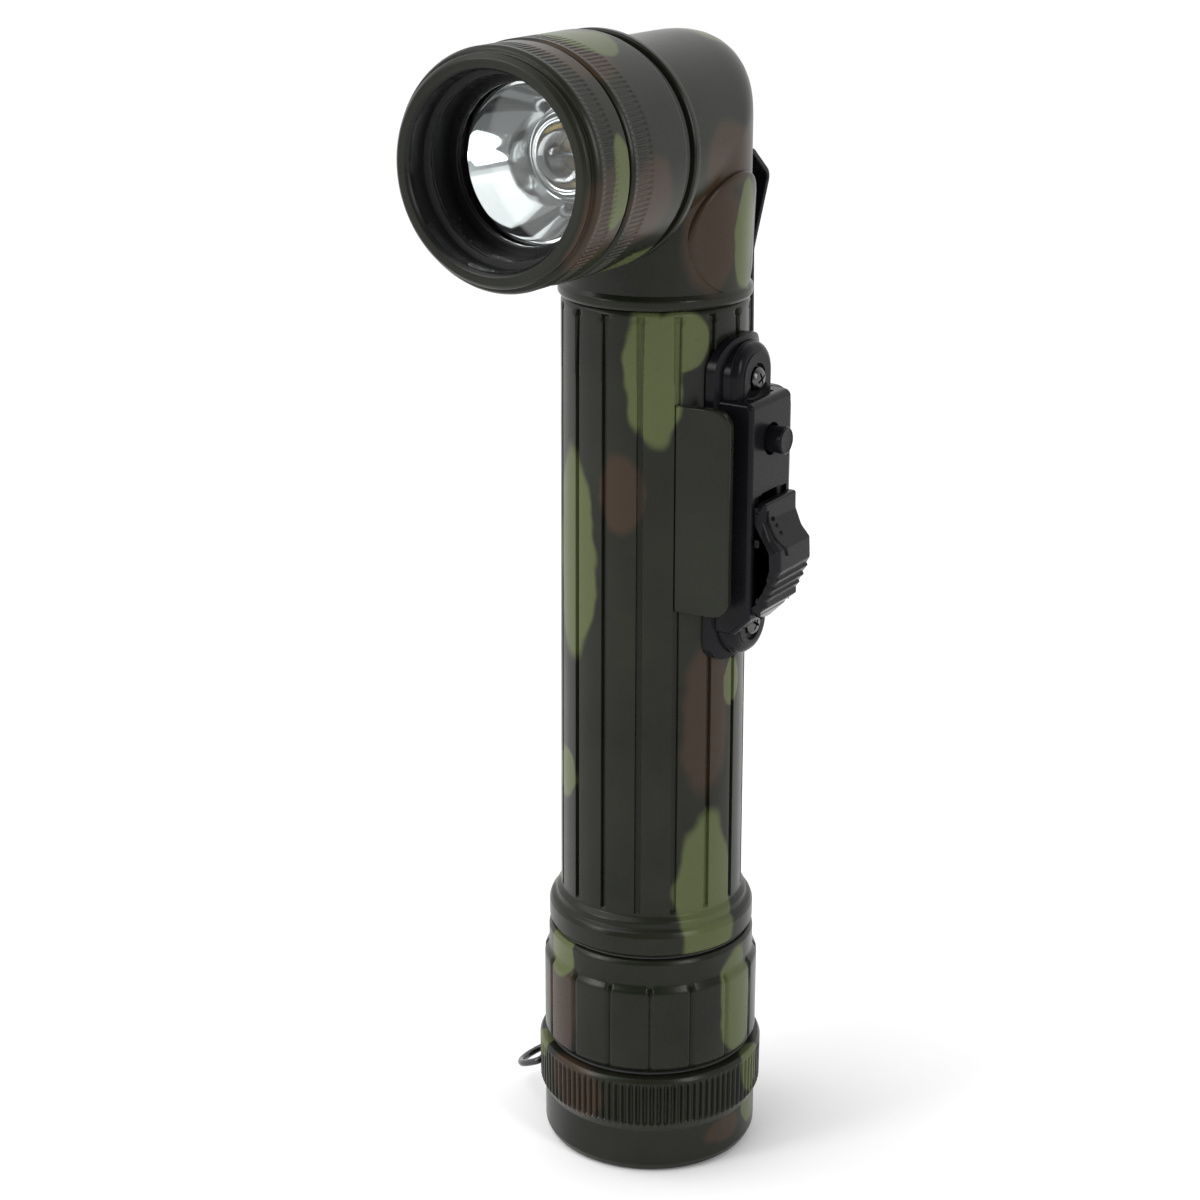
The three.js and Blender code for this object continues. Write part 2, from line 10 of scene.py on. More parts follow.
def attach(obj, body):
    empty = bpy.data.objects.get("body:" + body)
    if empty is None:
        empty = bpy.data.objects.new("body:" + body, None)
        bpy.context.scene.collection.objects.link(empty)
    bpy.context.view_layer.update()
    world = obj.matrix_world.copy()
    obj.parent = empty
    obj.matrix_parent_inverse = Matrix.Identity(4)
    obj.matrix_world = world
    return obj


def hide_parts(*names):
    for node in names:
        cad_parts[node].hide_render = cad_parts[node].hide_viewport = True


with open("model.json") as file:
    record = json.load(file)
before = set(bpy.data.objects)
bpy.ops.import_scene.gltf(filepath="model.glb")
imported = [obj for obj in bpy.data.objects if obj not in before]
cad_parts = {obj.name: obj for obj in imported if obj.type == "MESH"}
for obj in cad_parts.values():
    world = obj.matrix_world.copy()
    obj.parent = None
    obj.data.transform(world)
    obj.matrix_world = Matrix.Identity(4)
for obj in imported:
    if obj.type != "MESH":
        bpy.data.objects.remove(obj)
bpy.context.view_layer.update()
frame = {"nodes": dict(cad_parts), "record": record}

# All lengths below are in millimetres, in the frame of the CAD model. MM turns them into metres.
MM = 0.001
HEAD_Z = 151.6

# ---------- outlines and profiles ----------


def rounded(points, radius=0.25, closed=True, steps=3):
    """A line of (a, b) or (a, b, corner radius) points with its corners rounded."""
    made = []
    count = len(points)
    for i, point in enumerate(points):
        here = np.array(point[:2], float)
        wish = point[2] if len(point) > 2 else radius
        if wish == 0 or (not closed and i in (0, count - 1)):
            made.append(tuple(here))
            continue
        before = np.array(points[i - 1][:2], float) - here
        after = np.array(points[(i + 1) % count][:2], float) - here
        longest = 0.45 * min(np.linalg.norm(before), np.linalg.norm(after))
        before /= np.linalg.norm(before)
        after /= np.linalg.norm(after)
        half = math.acos(max(-1.0, min(1.0, float(before @ after)))) / 2
        if half > math.radians(86):
            made.append(tuple(here))
            continue
        reach = min(wish / math.tan(half), longest)
        size = reach * math.tan(half)
        middle = before + after
        centre = here + middle / np.linalg.norm(middle) * size / math.sin(half)
        start = here + before * reach - centre
        end = here + after * reach - centre
        sweep = math.pi - 2 * half
        for k in range(steps + 1):
            t = k / steps
            a = math.sin((1 - t) * sweep) / math.sin(sweep)
            b = math.sin(t * sweep) / math.sin(sweep)
            made.append(tuple(centre + start * a + end * b))
    return made


def refined(points, step, low, high):
    """The same line with more points along the stretches whose second number is from low to high."""
    made = [points[0]]
    for start, end in zip(points, points[1:]):
        length = math.dist(start, end)
        inside = low <= min(start[1], end[1]) and max(start[1], end[1]) <= high
        pieces = max(1, math.ceil(length / step)) if inside else 1
        for k in range(1, pieces + 1):
            t = k / pieces
            made.append(tuple(s + (e - s) * t for s, e in zip(start, end)))
    return made


def ribbon(points, thickness):
    """The closed outline of a strip of even thickness along a line of points."""
    line = [np.array(p, float) for p in points]
    left, right = [], []
    for i, here in enumerate(line):
        before = line[max(i - 1, 0)]
        after = line[min(i + 1, len(line) - 1)]
        first = after - here if i == 0 else here - before
        second = here - before if i == len(line) - 1 else after - here
        first = first / np.linalg.norm(first)
        second = second / np.linalg.norm(second)
        mean = (first + second) / np.linalg.norm(first + second)
        side = np.array([-mean[1], mean[0]]) * thickness / 2 / float(mean @ first)
        left.append(tuple(here + side))
        right.insert(0, tuple(here - side))
    return left + right


# ---------- meshes ----------


def placed(co, way, z=0.0):
    """Points (a, b, h) turned so that h runs up +Z, ahead along -Y from the head's axis, or out along +X."""
    a, b, h = co[:, 0], co[:, 1], co[:, 2]
    if way == "ahead":
        return np.stack([a, -h, b + HEAD_Z], axis=1)
    if way == "side":
        return np.stack([h, a, b + z], axis=1)
    if way == "back":
        return np.stack([b, h, a + z], axis=1)
    return np.stack([a, b, h + z], axis=1)


def new_object(name, co, faces):
    """A closed mesh with its faces outward, from points in millimetres."""
    mesh = bpy.data.meshes.new(name)
    mesh.from_pydata((np.asarray(co) * MM).tolist(), [], faces)
    made = bpy.data.objects.new(name, mesh)
    bpy.context.scene.collection.objects.link(made)
    work = bmesh.new()
    work.from_mesh(mesh)
    bmesh.ops.remove_doubles(work, verts=work.verts, dist=1e-7)
    bmesh.ops.recalc_face_normals(work, faces=work.faces)
    if work.calc_volume(signed=True) < 0:
        bmesh.ops.reverse_faces(work, faces=work.faces)
    work.to_mesh(mesh)
    work.free()
    return made


def grid_faces(rows, closed):
    """Quads between rows of vertex numbers, each row a ring; a pole repeats one number."""
    faces = []
    count = len(rows[0])
    pairs = list(zip(rows, rows[1:]))
    if closed:
        pairs.append((rows[-1], rows[0]))
    for low, high in pairs:
        for j in range(count):
            k = (j + 1) % count
            face = [low[j], low[k], high[k], high[j]]
            kept = [v for i, v in enumerate(face) if v != face[i - 1]]
            if len(kept) > 2:
                faces.append(kept)
    return faces


def turned(name, profile, way="up", z=0.0, count=192, relief=None, angles=None):
    """A turned body from (radius, height) points. relief gives the radius a change at each angle."""
    theta = np.linspace(0, 2 * math.pi, count, endpoint=False) if angles is None else angles
    co, rows = [], []
    for radius, height in profile:
        if radius <= 1e-9:
            rows.append([len(co)] * len(theta))
            co.append((0.0, 0.0, height))
            continue
        change = relief(theta, radius, height) if relief else 0.0
        r = radius + change * np.ones_like(theta)
        rows.append(list(range(len(co), len(co) + len(theta))))
        co.extend(zip(r * np.cos(theta), r * np.sin(theta), [height] * len(theta)))
    closed = not (profile[0][0] <= 1e-9 and profile[-1][0] <= 1e-9)
    return new_object(name, placed(np.array(co), way, z), grid_faces(rows, closed))


def slab(name, outline, low, high, way, edges=(0.3, 0.3), z=0.0, steps=3):
    """An outline pushed from low to high with its two rims rounded."""
    flat = np.array(outline, float)
    before = flat - np.roll(flat, 1, axis=0)
    after = np.roll(flat, -1, axis=0) - flat
    before /= np.linalg.norm(before, axis=1)[:, None]
    after /= np.linalg.norm(after, axis=1)[:, None]
    normal = np.stack([before[:, 1] + after[:, 1], -before[:, 0] - after[:, 0]], axis=1)
    scale = 1 + np.sum(before * after, axis=1)
    normal /= np.maximum(scale, 0.3)[:, None]
    turn = np.sum(flat[:, 0] * np.roll(flat[:, 1], -1) - flat[:, 1] * np.roll(flat[:, 0], -1))
    if turn < 0:
        normal = -normal
    levels = []
    for k in range(steps + 1):
        t = math.radians(90 * k / steps)
        levels.append((low + edges[0] * (1 - math.cos(t)), edges[0] * (1 - math.sin(t))))
    for k in range(steps, -1, -1):
        t = math.radians(90 * k / steps)
        levels.append((high - edges[1] * (1 - math.cos(t)), edges[1] * (1 - math.sin(t))))
    co, rows = [], []
    for height, inset in levels:
        ring = flat - normal * inset
        rows.append(list(range(len(co), len(co) + len(flat))))
        co.extend((a, b, height) for a, b in ring)
    faces = grid_faces(rows, False)
    faces.append(rows[0])
    faces.append(rows[-1][::-1])
    return new_object(name, placed(np.array(co), way, z), faces)


def rod(way, radius, low, high, z=0.0, count=48):
    """A plain round cutting tool."""
    return turned("tool", [(0, low), (radius, low), (radius, high), (0, high)], way, z, count)


def block(x, y, z):
    """A plain square cutting tool."""
    outline = [(z[0], x[0]), (z[1], x[0]), (z[1], x[1]), (z[0], x[1])]
    return slab("tool", outline, y[0], y[1], "back", (0, 0), steps=1)


def wire(name, points, radius, sides=16, closed=False):
    """A round wire through points, in millimetres, with flat ends unless it is closed."""
    line = np.array(points, float)
    count = len(line)
    nearby = np.gradient(line, axis=0)
    if closed:
        nearby = np.roll(line, -1, axis=0) - np.roll(line, 1, axis=0)
    nearby /= np.linalg.norm(nearby, axis=1)[:, None]
    side = np.cross(nearby[0], (0.3, 0.1, 0.9))
    co, rows = [], []
    for i in range(count):
        side = side - nearby[i] * float(side @ nearby[i])
        side /= np.linalg.norm(side)
        other = np.cross(nearby[i], side)
        rows.append(list(range(len(co), len(co) + sides)))
        for k in range(sides):
            t = 2 * math.pi * k / sides
            co.append(line[i] + radius * (math.cos(t) * side + math.sin(t) * other))
    faces = grid_faces(rows, closed)
    if not closed:
        faces.append(rows[0])
        faces.append(rows[-1][::-1])
    return new_object(name, np.array(co), faces)


def smooth_line(points, count, closed=False):
    """A Catmull-Rom line through points."""
    line = [np.array(p, float) for p in points]
    n = len(line)
    made = []
    spans = n if closed else n - 1
    for i in range(count):
        t = i / count * spans if closed else i / (count - 1) * spans
        k = min(int(t), spans - 1)
        f = t - k
        if closed:
            a, b, c, d = (line[(k + j) % n] for j in (-1, 0, 1, 2))
        else:
            a, b, c, d = (line[min(max(k + j, 0), n - 1)] for j in (-1, 0, 1, 2))
        made.append(
            0.5 * (2 * b + (c - a) * f + (2 * a - 5 * b + 4 * c - d) * f * f
                   + (3 * b - a - 3 * c + d) * f ** 3)
        )
    return made


def apply_modifiers(obj):
    """The object's mesh becomes what its modifiers make."""
    bpy.context.view_layer.update()
    graph = bpy.context.evaluated_depsgraph_get()
    mesh = bpy.data.meshes.new_from_object(obj.evaluated_get(graph))
    obj.modifiers.clear()
    old = obj.data
    obj.data = mesh
    bpy.data.meshes.remove(old)


def combine(obj, operation, *tools):
    """Joins the tools to the object, or cuts them from it."""
    for tool in tools:
        modifier = obj.modifiers.new("solid", "BOOLEAN")
        modifier.operation = operation
        modifier.solver = "MANIFOLD"
        modifier.object = tool
    apply_modifiers(obj)
    for tool in tools:
        bpy.data.objects.remove(tool)
    return obj


def shade(obj, degrees=38):
    """Smooth faces, with the sharp edges kept."""
    work = bmesh.new()
    work.from_mesh(obj.data)
    limit = math.radians(degrees)
    for face in work.faces:
        face.smooth = True
    for edge in work.edges:
        edge.smooth = len(edge.link_faces) == 2 and edge.calc_face_angle(0) < limit
    work.to_mesh(obj.data)
    work.free()
    weighted = obj.modifiers.new("weighted", "WEIGHTED_NORMAL")
    weighted.keep_sharp = True
    return obj


# ---------- materials ----------


def new_material(name):
    """A material with one Principled shader, its tree and its object coordinates."""
    made = bpy.data.materials.new(name)
    made.use_nodes = True
    tree = made.node_tree
    shader = next(n for n in tree.nodes if n.type == "BSDF_PRINCIPLED")
    coordinates = tree.nodes.new("ShaderNodeTexCoord").outputs["Object"]
    return made, tree, shader, coordinates


def noise(tree, vector, scale, detail=2.0, roughness=0.5):
    node = tree.nodes.new("ShaderNodeTexNoise")
    node.inputs["Scale"].default_value = scale
    node.inputs["Detail"].default_value = detail
    node.inputs["Roughness"].default_value = roughness
    tree.links.new(vector, node.inputs["Vector"])
    return node


def spread(tree, value, low, high, start=0.3, end=0.7, smooth=False):
    """A value from start to end turned into one from low to high."""
    node = tree.nodes.new("ShaderNodeMapRange")
    node.interpolation_type = "SMOOTHSTEP" if smooth else "LINEAR"
    node.inputs["From Min"].default_value = start
    node.inputs["From Max"].default_value = end
    node.inputs["To Min"].default_value = low
    node.inputs["To Max"].default_value = high
    tree.links.new(value, node.inputs["Value"])
    return node.outputs["Result"]


def mixed(tree, factor, first, second, blend="MIX"):
    """A colour mix; first and second are colours or sockets."""
    node = tree.nodes.new("ShaderNodeMix")
    node.data_type = "RGBA"
    node.blend_type = blend
    for name, value in (("A", first), ("B", second)):
        target = next(s for s in node.inputs if s.name == name and s.type == "RGBA")
        if isinstance(value, tuple):
            target.default_value = (*value, 1.0)
        else:
            tree.links.new(value, target)
    place = next(s for s in node.inputs if s.name == "Factor" and s.type == "VALUE")
    if isinstance(factor, float):
        place.default_value = factor
    else:
        tree.links.new(factor, place)
    return next(s for s in node.outputs if s.type == "RGBA")


def bump(tree, shader, height, strength, distance):
    node = tree.nodes.new("ShaderNodeBump")
    node.inputs["Strength"].default_value = strength
    node.inputs["Distance"].default_value = distance
    tree.links.new(height, node.inputs["Height"])
    tree.links.new(node.outputs["Normal"], shader.inputs["Normal"])


def surface(name, colour, second, rough, metal=0.0, grain=900.0, depth=0.15,
            stretch=(1, 1, 1), patches=60.0, shine=0.5):
    """A plain moulded, painted or metal finish with its own colour drift, wear and fine grain."""
    made, tree, shader, place = new_material(name)
    mapping = tree.nodes.new("ShaderNodeMapping")
    mapping.inputs["Scale"].default_value = stretch
    tree.links.new(place, mapping.inputs["Vector"])
    fine = noise(tree, mapping.outputs["Vector"], grain, 3.0, 0.6)
    broad = noise(tree, place, patches, 3.0, 0.55)
    drift = spread(tree, broad.outputs["Fac"], 0.0, 1.0, 0.35, 0.65, True)
    tree.links.new(mixed(tree, drift, colour, second), shader.inputs["Base Color"])
    fog = tree.nodes.new("ShaderNodeMath")
    fog.operation = "ADD"
    fog.inputs[1].default_value = 0.0
    tree.links.new(spread(tree, broad.outputs["Fac"], rough[0], rough[1]), fog.inputs[0])
    tree.links.new(spread(tree, fine.outputs["Fac"], -0.03, 0.05), fog.inputs[1])
    tree.links.new(fog.outputs[0], shader.inputs["Roughness"])
    shader.inputs["Metallic"].default_value = metal
    shader.inputs["Specular IOR Level"].default_value = shine
    shader.inputs["Coat Roughness"].default_value = 0.12
    bump(tree, shader, fine.outputs["Fac"], depth, 0.0001)
    return made


OLIVE = (0.0088, 0.0100, 0.0062)
OLIVE_LIGHT = (0.0150, 0.0165, 0.0105)
LIME = (0.080, 0.096, 0.036)
BROWN = (0.038, 0.024, 0.0145)
# Painted shade: a near-black colour on the inner faces of the head's rings, standing in for the shade inside
# the hood.
INNER_RING_SHADE = (0.009, 0.009, 0.010)

# Camouflage blotches of each part: centre x, y, z and half sizes, all in millimetres.
LIME_SPOTS = {
    "barrel": [
        (7, -12, 121, 5, 4.5, 9.5), (10, -9, 126, 4, 4, 4.5), (-6, -12, 94, 5, 4.5, 16),
        (-8, -11, 60, 3, 3, 4.5), (13.5, 0, 75, 3, 2.6, 3.5), (12.8, -5.6, 43, 5, 5.4, 14),
        (-12, 6, 108, 4, 5, 12), (-8, 11, 70, 5, 4, 9), (5, 13, 50, 6, 4, 8),
        (10, 9, 88, 5, 5, 9), (-14, -2, 42, 4, 5, 6), (-13, -8, 118, 3, 4, 6),
    ],
    "elbow_housing": [
        (13, 1.5, 139, 3, 2.6, 8.5), (-13, 0, 148, 4, 5, 7), (1, 9, 163, 6, 5, 4),
    ],
    "lens_ring": [
        (8, -19, 138, 5.5, 6, 3), (4, -23.5, 167, 6, 5, 3), (-14, -26, 158, 4, 5, 6),
        (-12, -20, 144, 4, 4, 5),
    ],
    "filter_ring": [(15, -33.2, 150.5, 4, 2.3, 6.5), (-9, -35, 140, 5, 4, 4)],
    "tail_cap": [
        (-7.5, -14, 33.5, 3.5, 3, 5), (16, -1.6, 25, 3.5, 4.2, 8.5), (-10, 12, 24, 6, 5, 6),
    ],
    "storage_cap": [
        (17, 2, 14, 3.5, 3, 5), (-13, -12, 15, 3, 3, 3), (16, 3, 6, 3, 2.6, 3),
        (7, 15, 9, 7, 4, 5),
    ],
}
BROWN_SPOTS = {
    "barrel": [
        (12, -5.5, 71, 5, 4.5, 12.5), (-11, 9, 126, 5, 5, 8), (-13, -4, 76, 4, 5, 10),
        (0, 14, 96, 6, 4, 10), (9, 11, 62, 5, 4, 9), (-6, 14, 40, 6, 4, 6),
        (13, 6, 110, 3, 4, 7), (2.5, -13, 104, 3.2, 3, 6),
    ],
    "elbow_housing": [
        (13, -3, 150, 4, 6, 4.5), (12.5, -5, 140, 5, 5, 8.5), (-9, -6, 162, 5, 6, 4),
        (6, 12, 149, 6, 4, 7),
    ],
    "lens_ring": [
        (15, -26, 146, 4, 5.5, 7), (7, -29, 165, 6, 4.5, 4), (-2, -30, 137, 6, 5, 3),
    ],
    "filter_ring": [
        (14, -36, 145.5, 5, 5, 8), (6, -33, 165.5, 6, 2.6, 3.5), (-15, -33, 150, 4, 5, 5),
    ],
    "tail_cap": [(-7.2, -13.9, 24, 4.4, 4, 8), (12, 11, 21, 5, 5, 7)],
    "storage_cap": [
        (-3.4, -16.4, 12.5, 6, 4, 5), (15.4, -3.6, 4.8, 3, 3.4, 3), (-16, 5, 8, 4, 6, 5),
        (-2, 16, 10, 5, 3, 4),
    ],
}


def spots(tree, vector, places):
    """How far a point is from the nearest blotch, as a share of that blotch's size."""
    nearest = None
    for x, y, z, a, b, c in places:
        mapping = tree.nodes.new("ShaderNodeMapping")
        mapping.vector_type = "TEXTURE"
        mapping.inputs["Location"].default_value = (x * MM, y * MM, z * MM)
        mapping.inputs["Scale"].default_value = (a * MM, b * MM, c * MM)
        tree.links.new(vector, mapping.inputs["Vector"])
        length = tree.nodes.new("ShaderNodeVectorMath")
        length.operation = "LENGTH"
        tree.links.new(mapping.outputs["Vector"], length.inputs[0])
        value = length.outputs["Value"]
        if nearest is not None:
            least = tree.nodes.new("ShaderNodeMath")
            least.operation = "MINIMUM"
            tree.links.new(nearest, least.inputs[0])
            tree.links.new(value, least.inputs[1])
            value = least.outputs[0]
        nearest = value
    return nearest


def distance_from_axis(tree, vector, first, second, shift=0.0):
    """The distance of each point from the barrel's or the head's axis, in metres."""
    parts = tree.nodes.new("ShaderNodeSeparateXYZ")
    tree.links.new(vector, parts.inputs[0])
    flat = tree.nodes.new("ShaderNodeCombineXYZ")
    tree.links.new(parts.outputs[first], flat.inputs["X"])
    tree.links.new(parts.outputs[second], flat.inputs["Y"])
    moved = tree.nodes.new("ShaderNodeVectorMath")
    moved.operation = "SUBTRACT"
    moved.inputs[1].default_value = (0, shift, 0)
    tree.links.new(flat.outputs[0], moved.inputs[0])
    length = tree.nodes.new("ShaderNodeVectorMath")
    length.operation = "LENGTH"
    tree.links.new(moved.outputs[0], length.inputs[0])
    return length.outputs["Value"], parts


def product(tree, first, second):
    node = tree.nodes.new("ShaderNodeMath")
    node.operation = "MULTIPLY"
    tree.links.new(first, node.inputs[0])
    tree.links.new(second, node.inputs[1])
    return node.outputs[0]


def inside_mask(tree, place, clear_radius, painted_radius):
    """One on the inner faces of the head's rings, nought on the outside."""
    distance, parts = distance_from_axis(tree, place, "X", "Z", HEAD_Z * MM)
    near = spread(tree, distance, 1.0, 0.0, clear_radius * MM, painted_radius * MM, True)
    ahead_of_elbow = spread(tree, parts.outputs["Y"], 1.0, 0.0, -0.0162, -0.0157)
    return product(tree, near, ahead_of_elbow)


def camouflage(part):
    """Dark olive moulded plastic with soft lime and brown blotches sprayed over it, and painted shade on the
    inner faces of the head's rings.
    """
    made, tree, shader, place = new_material("camo_" + part)
    drift = noise(tree, place, 95.0, 2.0, 0.5)
    centred = tree.nodes.new("ShaderNodeVectorMath")
    centred.operation = "SUBTRACT"
    centred.inputs[1].default_value = (0.5, 0.5, 0.5)
    tree.links.new(drift.outputs["Color"], centred.inputs[0])
    scaled = tree.nodes.new("ShaderNodeVectorMath")
    scaled.operation = "SCALE"
    scaled.inputs["Scale"].default_value = 0.0055
    tree.links.new(centred.outputs[0], scaled.inputs[0])
    warped = tree.nodes.new("ShaderNodeVectorMath")
    warped.operation = "ADD"
    tree.links.new(place, warped.inputs[0])
    tree.links.new(scaled.outputs[0], warped.inputs[1])
    lime = spread(tree, spots(tree, warped.outputs[0], LIME_SPOTS[part]), 1.0, 0.0, 0.9, 1.06, True)
    brown = spread(tree, spots(tree, warped.outputs[0], BROWN_SPOTS[part]), 1.0, 0.0, 0.8, 1.12, True)
    cloudy = noise(tree, place, 60.0, 3.0, 0.6)
    speckle = noise(tree, place, 1500.0, 2.0, 0.6)
    base = mixed(tree, spread(tree, cloudy.outputs["Fac"], 0, 1, 0.35, 0.65), OLIVE, OLIVE_LIGHT)
    painted = spread(tree, inside_mask(tree, place, 14.0, 14.3), 1.0, 0.0, 0.0, 1.0)
    colour = mixed(tree, product(tree, brown, painted), base, BROWN)
    colour = mixed(tree, product(tree, lime, painted), colour, LIME)
    # Painted shade: the inner faces of the head's rings are mixed towards near black for the hood's shaded
    # interior.
    colour = mixed(tree, inside_mask(tree, place, 12.3, 13.0), colour, INNER_RING_SHADE)
    shown = mixed(
        tree, 1.0, colour,
        mixed(tree, speckle.outputs["Fac"], (0.86, 0.86, 0.86), (1.0, 1.0, 1.0)), "MULTIPLY",
    )
    tree.links.new(shown, shader.inputs["Base Color"])
    tree.links.new(
        spread(tree, cloudy.outputs["Fac"], 0.24, 0.34), shader.inputs["Roughness"],
    )
    shader.inputs["Specular IOR Level"].default_value = 0.18
    grain = noise(tree, place, 2600.0, 2.0, 0.6)
    bump(tree, shader, grain.outputs["Fac"], 0.12, 0.00012)
    return made


def clear(name, colour, rough, weight=1.0, depth=0.01):
    """Clear glass or plastic with very faint waves and dust haze."""
    made, tree, shader, place = new_material(name)
    shader.inputs["Base Color"].default_value = (*colour, 1.0)
    shader.inputs["Transmission Weight"].default_value = weight
    shader.inputs["IOR"].default_value = 1.49
    haze = noise(tree, place, 300.0, 3.0, 0.6)
    tree.links.new(
        spread(tree, haze.outputs["Fac"], rough[0], rough[1]), shader.inputs["Roughness"],
    )
    bump(tree, shader, haze.outputs["Fac"], depth, 0.0001)
    return made


CAMOUFLAGE = {part: camouflage(part) for part in LIME_SPOTS}
FINISHES = {
    "black_plastic": surface(
        "black_plastic", (0.006, 0.006, 0.0075), (0.010, 0.0095, 0.011), (0.2, 0.3),
        grain=1800.0, depth=0.06, shine=0.1,
    ),
    "black_steel": surface(
        "black_steel", (0.006, 0.006, 0.0075), (0.012, 0.0115, 0.013), (0.24, 0.36),
        grain=1400.0, depth=0.08, shine=0.1,
    ),
    "dark_steel": surface(
        "dark_steel", (0.06, 0.06, 0.064), (0.11, 0.107, 0.105), (0.2, 0.34), metal=1.0,
        grain=1600.0, depth=0.12,
    ),
    "spring_steel": surface(
        "spring_steel", (0.52, 0.53, 0.55), (0.6, 0.6, 0.6), (0.16, 0.3), metal=1.0,
        grain=1500.0, depth=0.1,
    ),
    "brass_contact": surface(
        "brass_contact", (0.66, 0.5, 0.2), (0.5, 0.36, 0.14), (0.2, 0.38), metal=1.0,
        grain=700.0, depth=0.12, stretch=(1, 1, 0.15),
    ),
    "black_rubber": surface(
        "black_rubber", (0.012, 0.012, 0.012), (0.022, 0.021, 0.02), (0.6, 0.78),
        grain=2200.0, depth=0.3,
    ),
    "reflector_metal": surface(
        "reflector_metal", (0.88, 0.89, 0.9), (0.93, 0.93, 0.94), (0.03, 0.07), metal=1.0,
        grain=160.0, depth=0.02,
    ),
    "cell_can": surface(
        "cell_can", (0.12, 0.15, 0.18), (0.2, 0.23, 0.26), (0.25, 0.4), metal=0.5,
        grain=900.0, depth=0.05, patches=25.0,
    ),
    "clear_window": clear("clear_window", (0.95, 0.98, 0.97), (0.0, 0.02)),
    "bulb_glass": clear("bulb_glass", (0.6, 0.61, 0.61), (0.0, 0.03)),
    "red_filter": clear("red_filter", (0.6, 0.02, 0.02), (0.05, 0.12), 0.7),
    "blue_filter": clear("blue_filter", (0.03, 0.09, 0.6), (0.05, 0.12), 0.7),
    "diffuser_filter": clear("diffuser_filter", (0.86, 0.86, 0.82), (0.35, 0.5), 0.4),
}
SLOT_OF = {s["node"]: s["material_slot"] for s in frame["record"]["subparts"]}
BODY_OF = {
    node: body for body, nodes in frame["record"]["behaviour"]["bodies"].items() for node in nodes
}


def piece(obj, node, degrees=38):
    """The finished visible piece that stands for one CAD node."""
    shade(obj, degrees)
    slot_name = SLOT_OF[node]
    obj.data.materials.clear()
    obj.data.materials.append(CAMOUFLAGE.get(node) or FINISHES[slot_name])
    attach(obj, BODY_OF[node])
    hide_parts(node)
    return obj


# ---------- reliefs ----------


def ramp(value, low, high):
    return np.clip((value - low) / (high - low), 0, 1)


def thread(pitch, low, high, depth, inner):
    """Rounded screw thread on the radii above inner, between two heights."""
    def relief(theta, radius, height):
        if radius < inner or not low < height < high:
            return 0.0
        phase = (height / pitch - theta / (2 * math.pi)) % 1.0
        fade = min(1.0, (height - low) / 0.8, (high - height) / 0.8)
        return depth * fade * (np.clip(2.2 * np.abs(2 * phase - 1) - 0.6, 0, 1) - 0.75)
    return relief


def fine_ribs(count, low, high, depth, inner):
    """Even shallow grooves along a band of a cap or ring."""
    def relief(theta, radius, height):
        if radius < inner or not low < height < high:
            return 0.0
        fade = min(1.0, (height - low) / 0.35, (high - height) / 0.35)
        wave = np.cos(theta * count)
        return -depth * fade * np.clip(0.5 + 0.9 * wave, 0, 1)
    return relief


GROOVES = 16


def sector_angles(offsets):
    """Angles at the same offsets, in degrees, in every one of the groove sectors."""
    step = 360 / GROOVES
    degrees = [i * step + o for i in range(GROOVES) for o in offsets]
    return np.radians(np.array(sorted(degrees)))


def from_groove(theta, shift=0.0):
    """Degrees from the nearest groove."""
    step = 360 / GROOVES
    degrees = np.degrees(theta) - shift * step
    return np.abs((degrees + step / 2) % step - step / 2)


BARREL_THREAD = thread(1.5, 27.6, 35.2, 0.34, 13.2)


def barrel_relief(theta, radius, height):
    if height < 35.3:
        return BARREL_THREAD(theta, radius, height)
    if radius < 12.9 or not 41.2 < height < 129.1:
        return 0.0
    ends = min(1.0, (height - 41.2) / 0.5, (129.1 - height) / 0.25)
    wide = 1.0 + 0.45 * max(0.0, min(1.0, (height - 127.6) / 0.9))
    away = from_groove(theta)
    depth = 0.5 + 0.25 * (wide - 1)
    return -depth * ends * (1 - ramp(away, 1.45 * wide, 1.95 * wide))


LAND_TOP = 30.9
LAND_BOTTOM = 16.9
CAP_TURN = 0.38


def tail_relief(theta, radius, height):
    """A raised band parted by soft grooves, each starting in a deeper notch at its top."""
    if radius < 15.2 or not LAND_BOTTOM < height < LAND_TOP:
        return 0.0
    rise = min((height - LAND_BOTTOM) / 0.5, (LAND_TOP - height) / 1.4, 1.0)
    rise = rise * rise * (3 - 2 * rise)
    away = np.radians(from_groove(theta, CAP_TURN)) * 16
    notch = max(0.0, 1 - abs(height - 30.0) / 0.8)
    half = 0.5 + 0.12 * notch
    dent = np.clip(1 - away / half, 0, 1)
    return 0.68 * rise - (0.34 + 0.5 * notch) * rise ** 0.5 * dent * dent * (3 - 2 * dent)


# ---------- housing ----------


def elbow_tube(radius, bottom, front, power, crown, count=192):
    """The skin of a bent tube as rows of points: straight up, round the rounded corner, and ahead."""
    theta = np.linspace(0, 2 * math.pi, count, endpoint=False)
    x = radius * np.cos(theta)
    s = radius * np.abs(np.sin(theta))
    back = np.sin(theta) >= 0
    rows = []
    for u in np.linspace(0, 1, 8):
        y = np.where(back, s, -s)
        top = np.where(back, HEAD_Z, HEAD_Z - s)
        rows.append(np.stack([x, y, bottom + u * (top - bottom)], axis=1))
    for degrees in np.linspace(0, 90, 25)[1:]:
        c, n = math.cos(math.radians(degrees)), math.sin(math.radians(degrees))
        grow = (c ** power + n ** power) ** (-1 / power)
        y = np.where(back, s * grow * c, -s)
        z = np.where(back, HEAD_Z + s * grow * n * crown, HEAD_Z - s)
        rows.append(np.stack([x, y, z], axis=1))
    for u in np.linspace(0, 1, 6)[1:]:
        start = np.where(back, 0.0, -s)
        y = start + u * (-front - start)
        z = np.where(back, HEAD_Z + s * crown, HEAD_Z - s)
        rows.append(np.stack([x, y, z], axis=1))
    return rows


